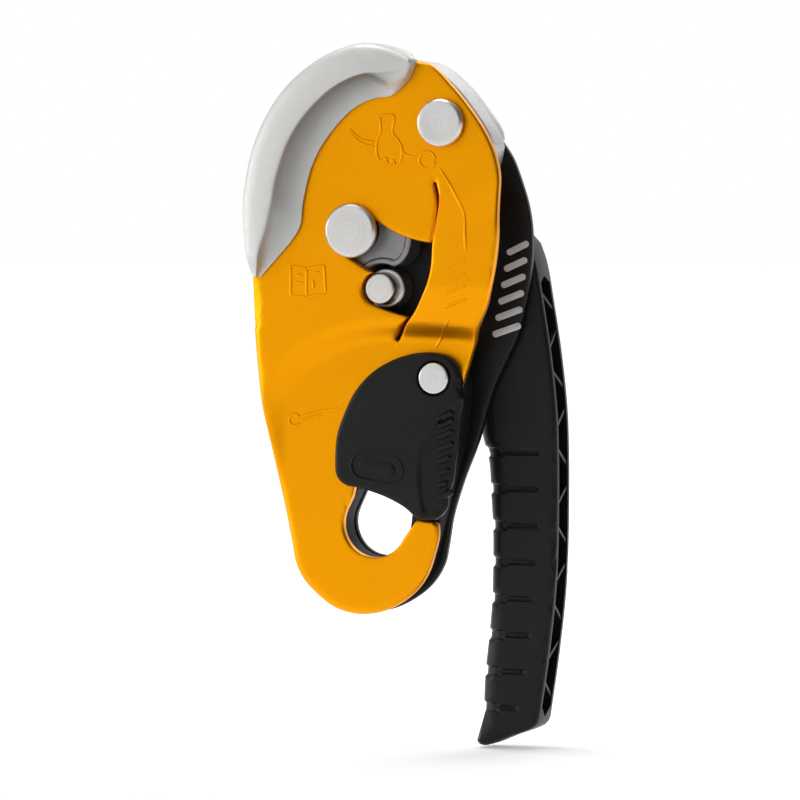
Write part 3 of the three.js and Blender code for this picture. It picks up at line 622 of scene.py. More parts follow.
GUARD_OUTER = up([[15.2, 138.8], [12.4, 140.7], [5, 143.1], [-1.7, 143.7], [-7.5, 142.5], [-15.1, 139.2],
                  [-24.4, 132.3], [-31.1, 123.9], [-36.2, 113.4], [-38.7, 103.2], [-39.7, 93.3], [-39, 84.9],
                  [-37.8, 76.8], [-36.9, 74]])
GUARD_INNER = up([[15.1, 137.4], [12.9, 132.9], [7.3, 128.1], [2.4, 127.4], [-3.4, 125.1], [-8, 121.5],
                  [-14.7, 113.4], [-18.2, 106.5], [-20.8, 96.3], [-21.7, 89.4], [-23.6, 86], [-28.2, 80.6],
                  [-31.6, 77], [-34.6, 73.8]])
BACK_OUTLINE_KNOTS = np.vstack([
    up([[36.6, 114.2], [39.6, 109.6], [42.3, 102.9], [44.7, 95.1], [45.8, 87.3], [45.6, 77], [43.9, 66.9],
        [41.3, 56.4], [39.1, 51.6], [33.7, 40.2]]),
    [[28.9, 24.6], [24.3, 12.9], [20.9, 2.1], [19.4, -6.6], [17.9, -12.8], [13.2, -19.5], [4.3, -25.2],
     [-2, -26.9], [-8, -26.7], [-13.4, -24.2], [-18.5, -21], [-23, -16.4], [-25.2, -12], [-26.4, -5.4],
     [-28.9, 6.9], [-31.4, 19.2]],
    up([[-34, 33], [-35.6, 45], [-35.9, 60], [-36.2, 74], [-36.2, 86], [-35.6, 97], [-33, 108], [-28, 119],
        [-21, 128.4], [-12, 135.2], [-3, 138.4], [6, 138.6], [12, 137.4]])])
BACK_TOP = up([[15.6, 134.6], [21.8, 130], [27.8, 123.6], [32, 117.2]])
SPACER_SIDE = np.vstack([
    up([[23.5, 49.5], [27, 45]]),
    [[26.8, 32], [25.2, 22], [22.4, 11.5], [19.6, 1.2], [17.6, -7], [15.6, -12.8], [11.4, -18.2], [3.2, -23],
     [-2, -24.6], [-8, -24.4], [-12.8, -22.8], [-17.4, -19.8], [-21.6, -15.4], [-23.8, -11], [-25, -5],
     [-27.6, 7], [-30, 19]]])
SPACER_TOP = up([[-31, 29], [-27, 37], [-19, 43.4], [-8, 47.6], [4, 50.2], [15, 51.6]])
INSERT_OUTER = up([[11.6, 138.6], [18.2, 137], [25.7, 131.1], [31.1, 124.8], [35.9, 117.9], [37.6, 113.4],
                   [37.4, 110.6]])
INSERT_INNER = up([[36.2, 106.4], [33.4, 104.4], [30.6, 105.4], [30, 109], [30.4, 115.5], [29.4, 120.8],
                   [26.6, 124.6], [22.4, 127], [17, 127.4], [11.8, 127.8], [9.4, 131], [9.6, 135]])
INSERT_LIP = up([[12.6, 138.4], [18.2, 137], [25.7, 131.1], [31.1, 124.8], [35.9, 117.9], [36.6, 114.8]])
INSERT_LIP_INNER = up([[33.2, 116.7], [28.4, 124], [22.3, 130.5], [16, 135.2], [12.8, 137.6]])
CAM_NOSE = AXLE + np.array([
    [12.4, -10.6], [14.4, -9.4], [16, -7.2], [17, -4.2], [17.3, 0], [17, 5], [14.6, 11.4], [9, 15.8], [2, 17],
    [-6, 15.6], [-12, 10.6], [-14, 2], [-12.2, -5], [-7, -10.2], [0, -12.3], [3.2, -12]])
GATE_LEFT = np.vstack([
    [[-7.2, 11.4], [-9.4, 12.6], [-11, 15], [-11.3, 20.1]],
    up([[-10.7, 26.7], [-8.5, 33], [-4.9, 39.9], [0.5, 45.6], [6.9, 49.3], [13.9, 51.4], [20.3, 51.6],
        [24.7, 50.4], [27.3, 47.7], [28.5, 44.2]])])
GATE_RIGHT = np.vstack([
    up([[28.4, 40.4], [29.3, 37.6], [28.2, 32.7], [27.9, 28.5]]),
    [[26.5, 20.1], [25.7, 13.8], [24.2, 8.7], [23.8, 5.4], [21.2, 2.4], [18.2, 1.8], [15.3, 2], [10.4, 5.6],
     [4.9, 8.3], [0.5, 9.8], [-4.6, 11.1], [-7.2, 11.4]]])
TIP_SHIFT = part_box("handle")[0].z / MM + 67.2      # how far the handle's tip is from where it is drawn


def low(points):
    """Outline points that follow the handle's tip."""
    return np.asarray(points, float) + [0, TIP_SHIFT]


GRIP_RIGHT = low([[52.6, 6], [51.9, -18], [49.7, -38.7], [46.8, -58.2]])
GRIP_LEFT = low([[28.2, -55.5], [28.7, -45], [29.8, -34.8], [30.8, -23.7], [31.1, -12.6], [31.1, -2.4],
                 [30.5, 8.7]])
ARM_RIGHT = up([[43.5, 84], [45.6, 78], [47.8, 66], [49.9, 53], [51.4, 41], [52.3, 29.7]])
ARM_INNER = up([[29.8, 18.9], [27.9, 26], [26.5, 38], [24, 49], [18.5, 58.5], [11, 65.6]])
POCKET = np.vstack([up([[40, 73], [34, 66], [34.5, 52], [36, 36]]),
                    low([[37.4, 8], [37.4, -14], [35.6, -36], [33.6, -56.6]])])
HUB_RADIUS = 17.0
BUSH_RADIUS = 6.3
PEG_REACH, PEG_RADIUS, PEG_ANGLE = 12.6, 2.5, 60.0
PEG_SLACK = 2.0         # degrees of play at each end of the back plate's slot
CAM_TURN = 20.0         # degrees that the cam turns with the peg
PEG_LAG = 85.0          # degrees that the handle turns past the cam
PIT_EASE = 0.25         # the handle's slot is wider by this, because its walls slope in by 0.2 mm


def throat(extra=0.0):
    """The carabiner hole, drawn out upwards: two arcs and the straight lines that touch both."""
    lean = bearing(THROAT_TOP, (0, 0))
    splay = np.degrees(np.arcsin(THROAT_TAPER / np.hypot(*THROAT_TOP)))
    return outline(arc((0, 0), HOLE_RADIUS + extra, lean + 90 - splay, lean + 270 + splay),
                   arc(THROAT_TOP, HOLE_RADIUS - THROAT_TAPER + extra, lean - 90 + splay, lean + 90 - splay))


def curved_slot(reach, half, start, end):
    """A slot of even width bent round the cam's axle."""
    ends = [AXLE + reach * np.array([np.cos(np.radians(a)), np.sin(np.radians(a))]) for a in (start, end)]
    return outline(arc(AXLE, reach + half, start, end), arc(ends[1], half, end, end + 180),
                   arc(AXLE, reach - half, end, start), arc(ends[0], half, start + 180, start + 360))


# ---------------------------------------------------------------- what a user may change


class RopeBrakeSizes(bpy.types.PropertyGroup):
    """Sizes of the finished surfaces."""

    plate_edge: bpy.props.FloatProperty(
        name="Plate edge", description="Radius of the side plates' outer edges", default=0.9 * MM,
        min=0.1 * MM, max=1.4 * MM, unit="LENGTH", precision=5)
    nylon_edge: bpy.props.FloatProperty(
        name="Nylon edge", description="Radius of the gate's edges", default=1.3 * MM,
        min=0.2 * MM, max=2 * MM, unit="LENGTH", precision=5)
    grip_edge: bpy.props.FloatProperty(
        name="Grip edge", description="Radius of the handle's finger side", default=5.2 * MM,
        min=1 * MM, max=6 * MM, unit="LENGTH", precision=5)
    groove_depth: bpy.props.FloatProperty(
        name="Finger groove depth", description="Depth of the grooves across the handle's finger side",
        default=0.95 * MM, min=0, max=1.5 * MM, unit="LENGTH", precision=5)
    groove_pitch: bpy.props.FloatProperty(
        name="Finger groove pitch", description="Distance between two finger grooves", default=10.95 * MM,
        min=5 * MM, max=20 * MM, unit="LENGTH", precision=5)
    mark_height: bpy.props.FloatProperty(
        name="Mark height", description="How far the plate's embossed lines stand out", default=0.28 * MM,
        min=0, max=0.6 * MM, unit="LENGTH", precision=5)
    mesh_spacing: bpy.props.FloatProperty(
        name="Mesh spacing", description="Distance between points inside a plate's faces",
        default=1.5 * MM, min=0.6 * MM, max=4 * MM, unit="LENGTH", precision=5)


def colour_property(name, description, default):
    return bpy.props.FloatVectorProperty(name=name, description=description, subtype="COLOR", size=3,
                                         min=0, max=1, default=default)


class RopeBrakeColours(bpy.types.PropertyGroup):
    """Colours of the finishes."""

    anodised: colour_property("Anodising", "Colour of the swinging side plate", (0.9, 0.35, 0.001))
    alloy: colour_property("Blasted alloy", "Colour of the friction guard and the wear insert",
                           (0.62, 0.62, 0.605))
    bright: colour_property("Turned steel", "Colour of the rivets, the axle and the pin", (0.74, 0.73, 0.715))
    cam: colour_property("Cast steel", "Colour of the cam", (0.3, 0.3, 0.31))
    bronze: colour_property("Bronze", "Colour of the bushes and the washer", (0.45, 0.3, 0.12))
    coated: colour_property("Black coating", "Colour of the fixed side plate", (0.006, 0.006, 0.0065))
    nylon: colour_property("Black nylon", "Colour of the gate, the handle and the spacer",
                           (0.0055, 0.0055, 0.006))


def sizes():
    return bpy.context.scene.rope_brake_sizes


def colours():
    return bpy.context.scene.rope_brake_colours


def orange():
    return anodised("orange anodising", colours().anodised)


def alloy():
    return blasted_alloy("blasted alloy", colours().alloy)


def nylon():
    return moulded_nylon("black nylon", colours().nylon, 2600.0, 0.32)


def coated():
    return moulded_nylon("black coating", colours().coated, 4200.0, 0.27)


def bright(centre):
    """Turned steel with its rings about the piece's own axis."""
    return lathe_turned(f"turned steel {centre[0]:.0f} {centre[1]:.0f}", colours().bright, centre)


# ---------------------------------------------------------------- operators, one for each piece


class ROPE_BRAKE_OT_front_plate(bpy.types.Operator):
    """Makes the swinging side plate: the raised dish, the hook, the window and the strip over the axle."""

    bl_idname = "rope_brake.front_plate"
    bl_label = "Swinging side plate"

    def execute(self, context):
        radius = sizes().plate_edge / MM

        def rolled(x, z):
            """The edge's radius: larger down the left flank and round the bottom."""
            flank = smoothstep((-14 - x) / 8) * smoothstep((up([0, 73])[1] - z) / 4)
            foot = smoothstep((-12 - z) / 8)
            return radius + 1.5 * np.maximum(flank, foot)

        points, faces = plate(
            front_plate_outline(), [window_outline()],
            lambda x, z, d: plate_front(x, z), lambda x, z, d: plate_front(x, z) + THICK,
            edge=rolled, back_edge=0.5, spacing=sizes().mesh_spacing / MM)
        piece("swinging_plate", points, faces, "front_plate", orange(),
              ["moving_side_plate"])
        return {"FINISHED"}


class ROPE_BRAKE_OT_plate_marks(bpy.types.Operator):
    """Makes the swinging plate's embossed lines: the rope's way round the pivot, and plain signs."""

    bl_idname = "rope_brake.plate_marks"
    bl_label = "Plate marks"

    def execute(self, context):
        height = sizes().mark_height / MM
        ring = up([18.3, 109])
        hand = [[3.3, 122.1], [7.7, 122.1], [7.4, 117.1], [9, 115], [10.3, 112.6], [9.6, 108.2], [8.2, 107.6],
                [7.6, 109], [6.9, 107.6], [5.6, 108.2], [5.2, 109.6], [4.3, 108.6], [2.9, 109.4], [2.3, 112],
                [2.5, 115], [3.6, 117.5], [3.3, 122.1]]
        leaves = [[-25.1, 77.2], [-20, 76.4], [-14.4, 77.6], [-13.9, 68.9], [-20, 68], [-25.1, 68.2]]
        corners = up([*leaves, leaves[0]])
        straight = [*zip(corners[:-1], corners[1:]), (corners[1], corners[4]),
                    (up([-18.2, 75]), up([-15.8, 75.5])), (up([-17.9, 73]), up([-17.8, 70.4])),
                    (up([-23.6, 74.6]), up([-21.4, 74.3])), (up([-23.6, 72.4]), up([-21.4, 72.1]))]
        for row in range(4):
            foot = up([25.2 + 0.5 * row, 65.4 + 4.0 * row])
            straight.append((foot, foot + [7.4 - 0.6 * row, 2.6]))
        lines = [(np.linspace(start, end, 20), 0.8) for start, end in straight]
        lines += [
            (run(up(hand), 6), 0.75),
            (run(up([[-6.7, 118.4], [-2.8, 115.2], [1.9, 114.2]]), 8), 0.8),
            (run(up([[-6.2, 117], [-2.6, 114], [1.9, 112.8]]), 8), 0.7),
            (run(up([[10, 111.6], [12.6, 110.2], [15.8, 109.6]]), 8), 0.8),
            (arc(ring, 2.5, 0, 352, 0.4), 0.85),
            (run(up([[22.2, 106.5], [27.3, 99], [31.5, 92.7], [32.7, 82.2]]), 10), 0.9),
            (run(up([[26, 61.8], [22.6, 57.5], [19.5, 53]])), 0.9),
            (run([[-23.6, 31.9], [-17, 33.6], [-10.8, 34.6]]), 0.8),
            (run([[-23.4, 30.5], [-20, 31.6], [-16.4, 32.4]]), 0.7),
            (arc((-25.4, 30.9), 1.75, 20, 330, 0.4), 0.8),
        ]
        parts = [ridge(path, width, height, plate_front) for path, width in lines]
        points, faces = merge_parts(parts)
        piece("plate_marks", points, faces, "front_plate", orange(), crease=60)
        return {"FINISHED"}


class ROPE_BRAKE_OT_friction_guard(bpy.types.Operator):
    """Makes the cast guard along the plate's upper edge: a rounded outer band, a ridge and a hollow."""

    bl_idname = "rope_brake.friction_guard"
    bl_label = "Friction guard"

    def execute(self, context):
        back = HIGH_FRONT - GAP
        lip, width = 0.13, 14.0

        def section(knots):
            return run(np.array(knots) * [width, 1], 5) / [width, 1]

        hollowed = section([[0, -1.0], [0.012, -2.4], [0.06, -3.6], [0.17, -4.45], [0.33, -4.95],
                            [0.48, -5.25], [0.535, -5.2], [0.565, -4.6], [0.62, -3.3], [0.72, -2.0],
                            [0.86, -1.2], [1, -0.8]])
        solid = section([[0, -1.0], [0.012, -2.4], [0.06, -3.6], [0.17, -4.45], [0.33, -4.9], [0.5, -4.9],
                         [0.66, -4.7], [0.78, -4.3], [0.87, -3.7], [0.93, -2.9], [0.975, -1.9], [1, -0.8]])
        steps = 10
        outer, inner = run(GUARD_OUTER, steps), run(GUARD_INNER, steps)
        knot = np.arange(len(outer))[:, None] / steps
        last = len(GUARD_OUTER) - 1
        hollow = smoothstep((knot - 0.9) / 2.2)
        top_round = np.sqrt(np.maximum(0, 1 - np.clip(1 - knot / 0.45, 0, 1) ** 2))
        foot_facet = np.clip((last - knot) / 1.5, 0, 1)
        full = 0.25 + 0.75 * np.minimum(top_round, foot_facet)
        wrap = smoothstep((np.minimum(knot, last - knot) - 0.6) / 0.4)
        profile = solid[None] + (hollowed - solid)[None] * hollow[..., None]
        ends = np.ones((len(outer), 1))
        share = np.hstack([0 * ends, profile[..., 0], ends, ends * (lip + 0.01), ends * lip])
        rise = np.hstack([0 * ends, profile[..., 1] * full, 0 * ends, 0 * ends, 0 * ends])
        y = back + rise
        y[:, [0, -1]] = back + 0.02 + wrap * (HIGH_FRONT + THICK + 0.2 - back)
        flat = outer[:, None, :] + (inner - outer)[:, None, :] * share[..., None]
        points, faces = loft(np.stack([flat[..., 0], y, flat[..., 1]], axis=-1))
        obj = piece("guard_casting", points, faces, "front_plate", alloy(),
                    ["friction_guard"], 50)
        # Painted shade for the guard's hollow: darkest just inside the ridge, fading towards the inner edge
        # and towards the lower left end.
        hollow_painted_shade = smoothstep((share - 0.53) / 0.03) * (1 - 0.75 * smoothstep((share - 0.58) / 0.42)) * hollow
        hollow_painted_shade *= 1 - 0.55 * smoothstep((knot - 6) / 4)
        attribute = obj.data.attributes.new("hollow", "FLOAT", "POINT")
        attribute.data.foreach_set("value", hollow_painted_shade.ravel().astype(np.float32))
        return {"FINISHED"}


class ROPE_BRAKE_OT_turned_parts(bpy.types.Operator):
    """Makes the turned pieces: each is a profile carried round an axis through the plates."""

    bl_idname = "rope_brake.turned_parts"
    bl_label = "Rivets, axle and pin"

    def execute(self, context):
        head = HIGH_FRONT - GAP
        y0 = depth("plate_pivot_rivet")[0]
        self.make("pivot_rivet_turned", "plate_pivot_rivet", PIVOT, "back_frame", [
            (0, y0 + 0.12), (2.2, y0 + 0.1), (5.3, y0), (6.5, y0), (7.2, y0 + 0.8), (7.2, head - 0.7),
            (4, head - 0.7), (4, BACK_REAR - 1.3), (5, BACK_REAR - 1.3), (5, BACK_REAR), (0, BACK_REAR)])
        y0, y1 = depth("cam_axle")
        self.make("cam_axle_turned", "cam_axle", AXLE, "back_frame", [
            (0, y0 + 0.05), (7.3, y0), (8.1, y0 + 0.8), (8.1, head), (6.4, head),
            (6.4, -7.7), (4.5, -7.7), (4.5, y1 - 1.7), (6.9, y1 - 1.7), (6.9, y1 - 0.8), (5.9, y1), (0, y1)])
        y0 = depth("stop_pin")[0]
        self.make("stop_pin_turned", "stop_pin", PIN, "back_frame", [
            (0, y0 + 0.04), (4.1, y0), (4.65, y0 + 0.5),
            (4.65, y0 + 5.6), (5.6, y0 + 5.6), (6, y0 + 6), (6, BACK_FRONT - GAP), (3, BACK_FRONT - GAP),
            (3, BACK_REAR), (0, BACK_REAR)])
        y0, y1 = depth("gate_rivet")
        self.make("gate_rivet_turned", "gate_rivet", GATE_RIVET, "front_plate", [
            (0, y0 + 0.04), (4.3, y0), (4.7, y0 + 0.4), (4.7, y0 + 1.8),
            (2.6, y0 + 1.8), (2.6, y1 + PROUD), (0, y1 + PROUD)])
        y0, y1 = depth("hub_washer")
        self.make("hub_washer_turned", "hub_washer", AXLE, "back_frame", [
            (4.8, y1), (4.8, y0), (7.8, y0), (8.1, y0 + 0.3), (8.1, y1 - 0.3), (7.8, y1), (4.8, y1)])
        for name, body in (("guard_rivet_upper", "front_plate"), ("guard_rivet_lower", "front_plate")):
            y0, y1 = depth(name)
            self.make(name + "_turned", name, middle(name), body,
                      [(0, y0), (1.7, y0), (2, y0 + 0.3), (2, y1 - 0.2), (1.8, y1 + PROUD), (0, y1 + PROUD)],
                      "spring_steel")
        return {"FINISHED"}

    def make(self, name, node, centre, body, profile, slot="turned_steel"):
        points, faces = turned(centre, profile)
        piece(name, points, faces, body, bright(centre), [node], crease=30)


class ROPE_BRAKE_OT_back_plate(bpy.types.Operator):
    """Makes the fixed side plate: a flat black plate with a bevelled rim, and a row of short pale bars
    standing out of its face.
    """

    bl_idname = "rope_brake.back_plate"
    bl_label = "Fixed side plate"

    def execute(self, context):
        outer = outline(run(BACK_OUTLINE_KNOTS, 6), run(BACK_TOP, 6))
        slot = curved_slot(PEG_REACH, PEG_RADIUS + GAP, PEG_ANGLE - PEG_SLACK,
                           PEG_ANGLE + CAM_TURN + PEG_SLACK)
        points, faces = plate(outer, [throat(), slot], level(BACK_FRONT), level(BACK_REAR - PROUD),
                              edge=sizes().plate_edge / MM, back_edge=sizes().plate_edge / MM, spacing=3.0)
        piece("fixed_plate", points, faces, "back_frame", coated(), ["fixed_side_plate"])
        bars = []
        for row in range(6):
            left, right = up([[34.6 + 0.9 * row, 57 + 4.9 * row], [41.6 + 0.5 * row, 59.4 + 4.9 * row]])
            bar = outline(arc(right, 1.0, -75, 105, 0.3), arc(left, 1.0, 105, 285, 0.3))
            bars.append(plate(bar, [], level(BACK_FRONT - 0.08), level(BACK_FRONT + 0.2),
                              edge=0.05, back_edge=0, spacing=1.0))
        points, faces = merge_parts(bars)
        piece("plate_bars", points, faces, "back_frame",
              blasted_alloy("pale print", (0.6, 0.6, 0.59)))
        return {"FINISHED"}


class ROPE_BRAKE_OT_spacer(bpy.types.Operator):
    """Makes the moulded spacer between the plates, round the carabiner hole."""

    bl_idname = "rope_brake.spacer"
    bl_label = "Spacer"

    def execute(self, context):
        front, rear = depth("spacer_block")
        points, faces = plate(outline(run(SPACER_SIDE, 6), run(SPACER_TOP, 6)), [throat(GAP)],
                              level(front), level(rear), edge=0.7, back_edge=0.4, spacing=3.0)
        piece("spacer_moulding", points, faces, "back_frame",
              moulded_nylon("spacer nylon", colours().nylon, 2600.0, 0.55), ["spacer_block"])
        return {"FINISHED"}


class ROPE_BRAKE_OT_wear_insert(bpy.types.Operator):
    """Makes the insert that the rope bears on, with its lip over the fixed plate's edge."""

    bl_idname = "rope_brake.wear_insert"
    bl_label = "Wear insert"

    def execute(self, context):
        front, rear = depth("wear_insert")
        block = plate(outline(run(INSERT_OUTER, 6), run(INSERT_INNER, 6)), [], level(front),
                      level(BACK_FRONT - GAP), edge=1.2, back_edge=0.4, spacing=1.4)
        lip = plate(outline(run(INSERT_LIP, 6), run(INSERT_LIP_INNER, 6)), [], level(BACK_FRONT - GAP - 0.5),
                    level(rear), edge=0.1, back_edge=0.5, spacing=1.4)
        points, faces = merge_parts([block, lip])
        piece("insert_casting", points, faces, "back_frame", alloy(), ["wear_insert"])
        return {"FINISHED"}


class ROPE_BRAKE_OT_cam(bpy.types.Operator):
    """Makes the cam: a rounded rim round a recessed face, with the bore for its bush."""

    bl_idname = "rope_brake.cam"
    bl_label = "Cam"

    def execute(self, context):
        front, rear = depth("cam")
        outer = outline(run(CAM_NOSE, 6), arc(PIN, 7.4, 122, 63, 0.5))
        bore = arc(AXLE, BUSH_RADIUS + GAP, 360, 0)[:-1]

        def face(x, z, d):
            return front + 0.7 * smoothstep((edge_distance(np.stack([x, z], axis=1), [outer]) - 1.5) / 0.4)

        tangent = np.roll(outer, -1, axis=0) - np.roll(outer, 1, axis=0)
        normal = np.stack([tangent[:, 1], -tangent[:, 0]], axis=1) / np.linalg.norm(tangent, axis=1)[:, None]
        step = [outer + side * reach * normal for reach in (1.45, 1.6, 1.75, 1.95) for side in (1, -1)]
        points, faces = plate(outer, [bore], face, level(rear), edge=0.6, back_edge=0.5, spacing=1.1,
                              extra=np.vstack(step))
        piece("cam_casting", points, faces, "cam_body",
              plain_steel("cast cam steel", colours().cam), ["cam"])
        return {"FINISHED"}


class ROPE_BRAKE_OT_gate(bpy.types.Operator):
    """Makes the sprung gate: a crowned plate with a thumb hollow, thumb ribs and a plain badge."""

    bl_idname = "rope_brake.gate"
    bl_label = "Gate"

    def execute(self, context):
        rear = LOW_FRONT - GAP
        badge_front = depth("gate")[0]
        face_front = badge_front + 0.5
        edge = sizes().nylon_edge / MM

        def hollow_edge(z):
            """The thumb hollow's left edge: a parabola, wide open upwards."""
            rise = (z - 17) / np.where(z > 17, 16.0, 13.0)
            return 15.2 + np.where(z > 17, 8.0, 1.4) * rise**2

        def face(x, z, d=None):
            crown = 0.0 if d is None else 0.5 * (1 - smoothstep(d / 9))
            hollow = 1.0 * smoothstep((x - hollow_edge(z)) / 1.1) * smoothstep((z - 2.6) / 2.4)
            from_rivet = np.hypot(x - GATE_RIVET[0], z - GATE_RIVET[1])
            seat = 1.7 * smoothstep((5.35 - from_rivet) / 0.35)
            return face_front + crown + hollow * smoothstep((from_rivet - 6.5) / 3) + seat

        outer = outline(run(GATE_LEFT, 6), run(GATE_RIGHT, 6))
        heights = np.arange(3, 34.5, 0.8)
        hollow_lines = [np.stack([hollow_edge(heights) + shift, heights], axis=1)
                        for shift in (-0.1, 0.25, 0.55, 0.85, 1.2)]
        rim = [arc(GATE_RIVET, radius, 0, 360, 0.7)[:-1] for radius in (4.9, 5.1, 5.3, 5.5)]
        parts = [plate(outer, [], face, level(rear), edge=edge, back_edge=0.4, spacing=1.1,
                       extra=np.vstack([*rim, *hollow_lines]))]
        tail_outer, tail_inner = GATE_RIVET[1] - 1.7, 29.2
        tail = outline(arc(GATE_RIVET, tail_outer, 260, 269), arc(GATE_RIVET, tail_inner, 269, 260))
        parts.append(plate(tail, [], level(rear - 1), level(LOW_REAR), edge=0.1, back_edge=0.5, spacing=1.5))
        badge = outline(arc([6.3, 16.6], 1.9, -98, 82), arc([-1.3, 17.8], 1.9, 82, 262))
        parts.append(plate(badge, [], level(badge_front), level(face_front + 1), edge=0.35, back_edge=0.1,
                           spacing=1.0))
        for height in (33, 30.9, 27.6, 24, 20.4, 16.8, 13.2, 9.6):
            path = run([[21.3, height - 1.2], [24, height - 0.3], [26.4, height + 1.1]], 8)
            parts.append(ridge(path[edge_distance(path, [outer]) > 0.9], 1.7, 0.95, face, sunk=0.6))
        pill = outline(arc([6.5, 16.6], 4.2, -98, 82), arc([-1.5, 17.8], 4.2, 82, 262))
        parts.append(ridge(np.vstack([pill, pill[:1]]), 0.7, 0.3, face, sunk=0.4))
        points, faces = merge_parts(parts)
        piece("gate_moulding", points, faces, "gate_body", nylon(), ["gate"])
        return {"FINISHED"}


class ROPE_BRAKE_OT_handle(bpy.types.Operator):
    """Makes the handle as two moulded halves with leaning ribs between their walls.

    The finger side is rounded by a large radius, and each finger groove is a notch in the outline that
    runs on as a narrow line across the face.
    """

    bl_idname = "rope_brake.handle"
    bl_label = "Handle"

    wall = 2.6
    first_groove = 21.4
    groove_ends = (47, 47, 47, 46.3, 45.7, 44.4, 42.8, 40.3)

    def grooves(self):
        """The middle height of each finger groove, and where it ends across the face."""
        return [(low([0, self.first_groove])[1] - k * sizes().groove_pitch / MM, end)
                for k, end in enumerate(self.groove_ends)]

    def band(self, z, half, slope):
        """1 inside a finger groove's height and 0 outside it, with soft sides."""
        return np.max([smoothstep((half + slope / 2 - np.abs(z - middle)) / slope)
                       for middle, _ in self.grooves()], axis=0)

    def finger_side(self):
        """The handle's left edge from its tip to the hub, with a notch for each groove."""
        path = run(np.vstack([GRIP_LEFT, ARM_INNER]), 40)
        path[:, 0] += 0.5 * sizes().groove_depth / MM * self.band(path[:, 1], 1.45, 0.5)
        return path

    def outline(self):
        return outline(run(up([[12, 103.4], [24, 99.6], [36, 92]]), 8),
                       run(np.vstack([ARM_RIGHT, GRIP_RIGHT]), 6),
                       run(low([[46.3, -59.6], [45, -61], [37.5, -64], [29.8, -66.9], [27.6, -66.6],
                                [26.7, -65.2]]), 4),
                       self.finger_side(), arc(AXLE, HUB_RADIUS, -52, -292))

    def edge(self, x, z):
        """The edges' radius: large on the finger side, small on the open side and round the hub."""
        side = smoothstep((41.5 - x) / 5) * smoothstep((up([0, 62])[1] - z) / 14)
        tip = smoothstep((z - low([0, -65])[1]) / 10)
        return 1.4 + (sizes().grip_edge / MM - 1.4) * side * (0.35 + 0.65 * tip)

    def face_groove(self, x, z):
        """The narrow lines across the face: a rounded channel that ends at a set distance."""
        side = run(np.vstack([GRIP_LEFT, ARM_INNER]), 6)
        total = self.band(z, 1.3, 0.5) * smoothstep((6.4 - x + np.interp(z, side[:, 1], side[:, 0])) / 0.8)
        for middle, end in self.grooves():
            channel = smoothstep((0.85 - np.abs(z - middle)) / 0.5) * smoothstep((end - x) / 0.8)
            total = np.maximum(total, channel * smoothstep((x - 20) / 2))
        return 0.7 * total

    def execute(self, context):
        shape = self.outline()
        middle_y = (HANDLE_FRONT + HANDLE_REAR) / 2
        pocket = run(POCKET, 8)
        order = np.argsort(pocket[:, 1])

        def in_pocket(x, z):
            """1 in the open pocket on the right and 0 in the solid part, over half a millimetre."""
            left = np.interp(z, pocket[order, 1], pocket[order, 0])
            height = smoothstep((up([0, 73])[1] - z) / 0.5) * smoothstep((z - low([0, -56.6])[1]) / 0.5)
            return smoothstep((x - left) / 0.5 + 0.5) * height

        slot_radius = PEG_RADIUS + GAP + PIT_EASE
        slot_ends = PEG_ANGLE - PEG_LAG - 2 * PEG_SLACK, PEG_ANGLE + 2 * PEG_SLACK
        slot = curved_slot(PEG_REACH, slot_radius, *slot_ends)

        def front(x, z, d):
            at = np.stack([x, z], axis=1)
            pit = np.where(inside(at, slot), smoothstep(edge_distance(at, [slot]) / 0.2), 0)
            return HANDLE_FRONT + self.face_groove(x, z) + 3.6 * pit

        def front_inner(x, z, d):
            hub = smoothstep((10.9 - np.hypot(x - AXLE[0], z - AXLE[1])) / 0.3)
            return middle_y - in_pocket(x, z) * (middle_y - HANDLE_FRONT - self.wall) - hub * 1.3

        def rear_inner(x, z, d):
            return middle_y + in_pocket(x, z) * (HANDLE_REAR - self.wall - middle_y)

        def rear(x, z, d):
            return HANDLE_REAR - self.face_groove(x, z)

        extra = [pocket + [shift, 0] for shift in (-0.4, -0.1, 0.2, 0.5)]
        for height, end in self.grooves():
            along = np.arange(27, end + 1.5, 0.8)
            extra += [np.stack([along, np.full(len(along), height + shift)], axis=1)
                      for shift in (-0.9, -0.55, 0, 0.55, 0.9)]
            along = np.arange(27, 38.5, 0.8)
            extra += [np.stack([along, np.full(len(along), height + shift)], axis=1)
                      for shift in (-1.6, -1.3, -1.05, 1.05, 1.3, 1.6)]
        hub_lines = [arc(AXLE, radius, 0, 360)[:-1] for radius in (10.5, 10.8, 11.1)]
        slot_lines = [curved_slot(PEG_REACH, slot_radius + shift, *slot_ends)
                      for shift in (-0.22, -0.02, 0.15)]
        spacing = sizes().mesh_spacing / MM
        half = plate(shape, [arc(AXLE, BUSH_RADIUS + GAP, 360, 0)[:-1]], front, front_inner,
                     edge=self.edge, back_edge=0, spacing=spacing,
                     extra=np.vstack(extra + hub_lines + slot_lines))
        other = plate(shape, [arc(AXLE, 10.9, 360, 0)[:-1]], rear_inner, rear,
                      edge=0, back_edge=self.edge, spacing=spacing, extra=np.vstack(extra))
        points, faces = merge_parts([half, other])
        piece("handle_moulding", points, faces, "handle_body",
              moulded_nylon("handle nylon", colours().nylon, 2200.0, 0.32), ["handle"])
        points, faces = merge_parts(list(self.ribs(pocket[order])))
        piece("handle_ribs", points, faces, "handle_body", nylon())
        return {"FINISHED"}

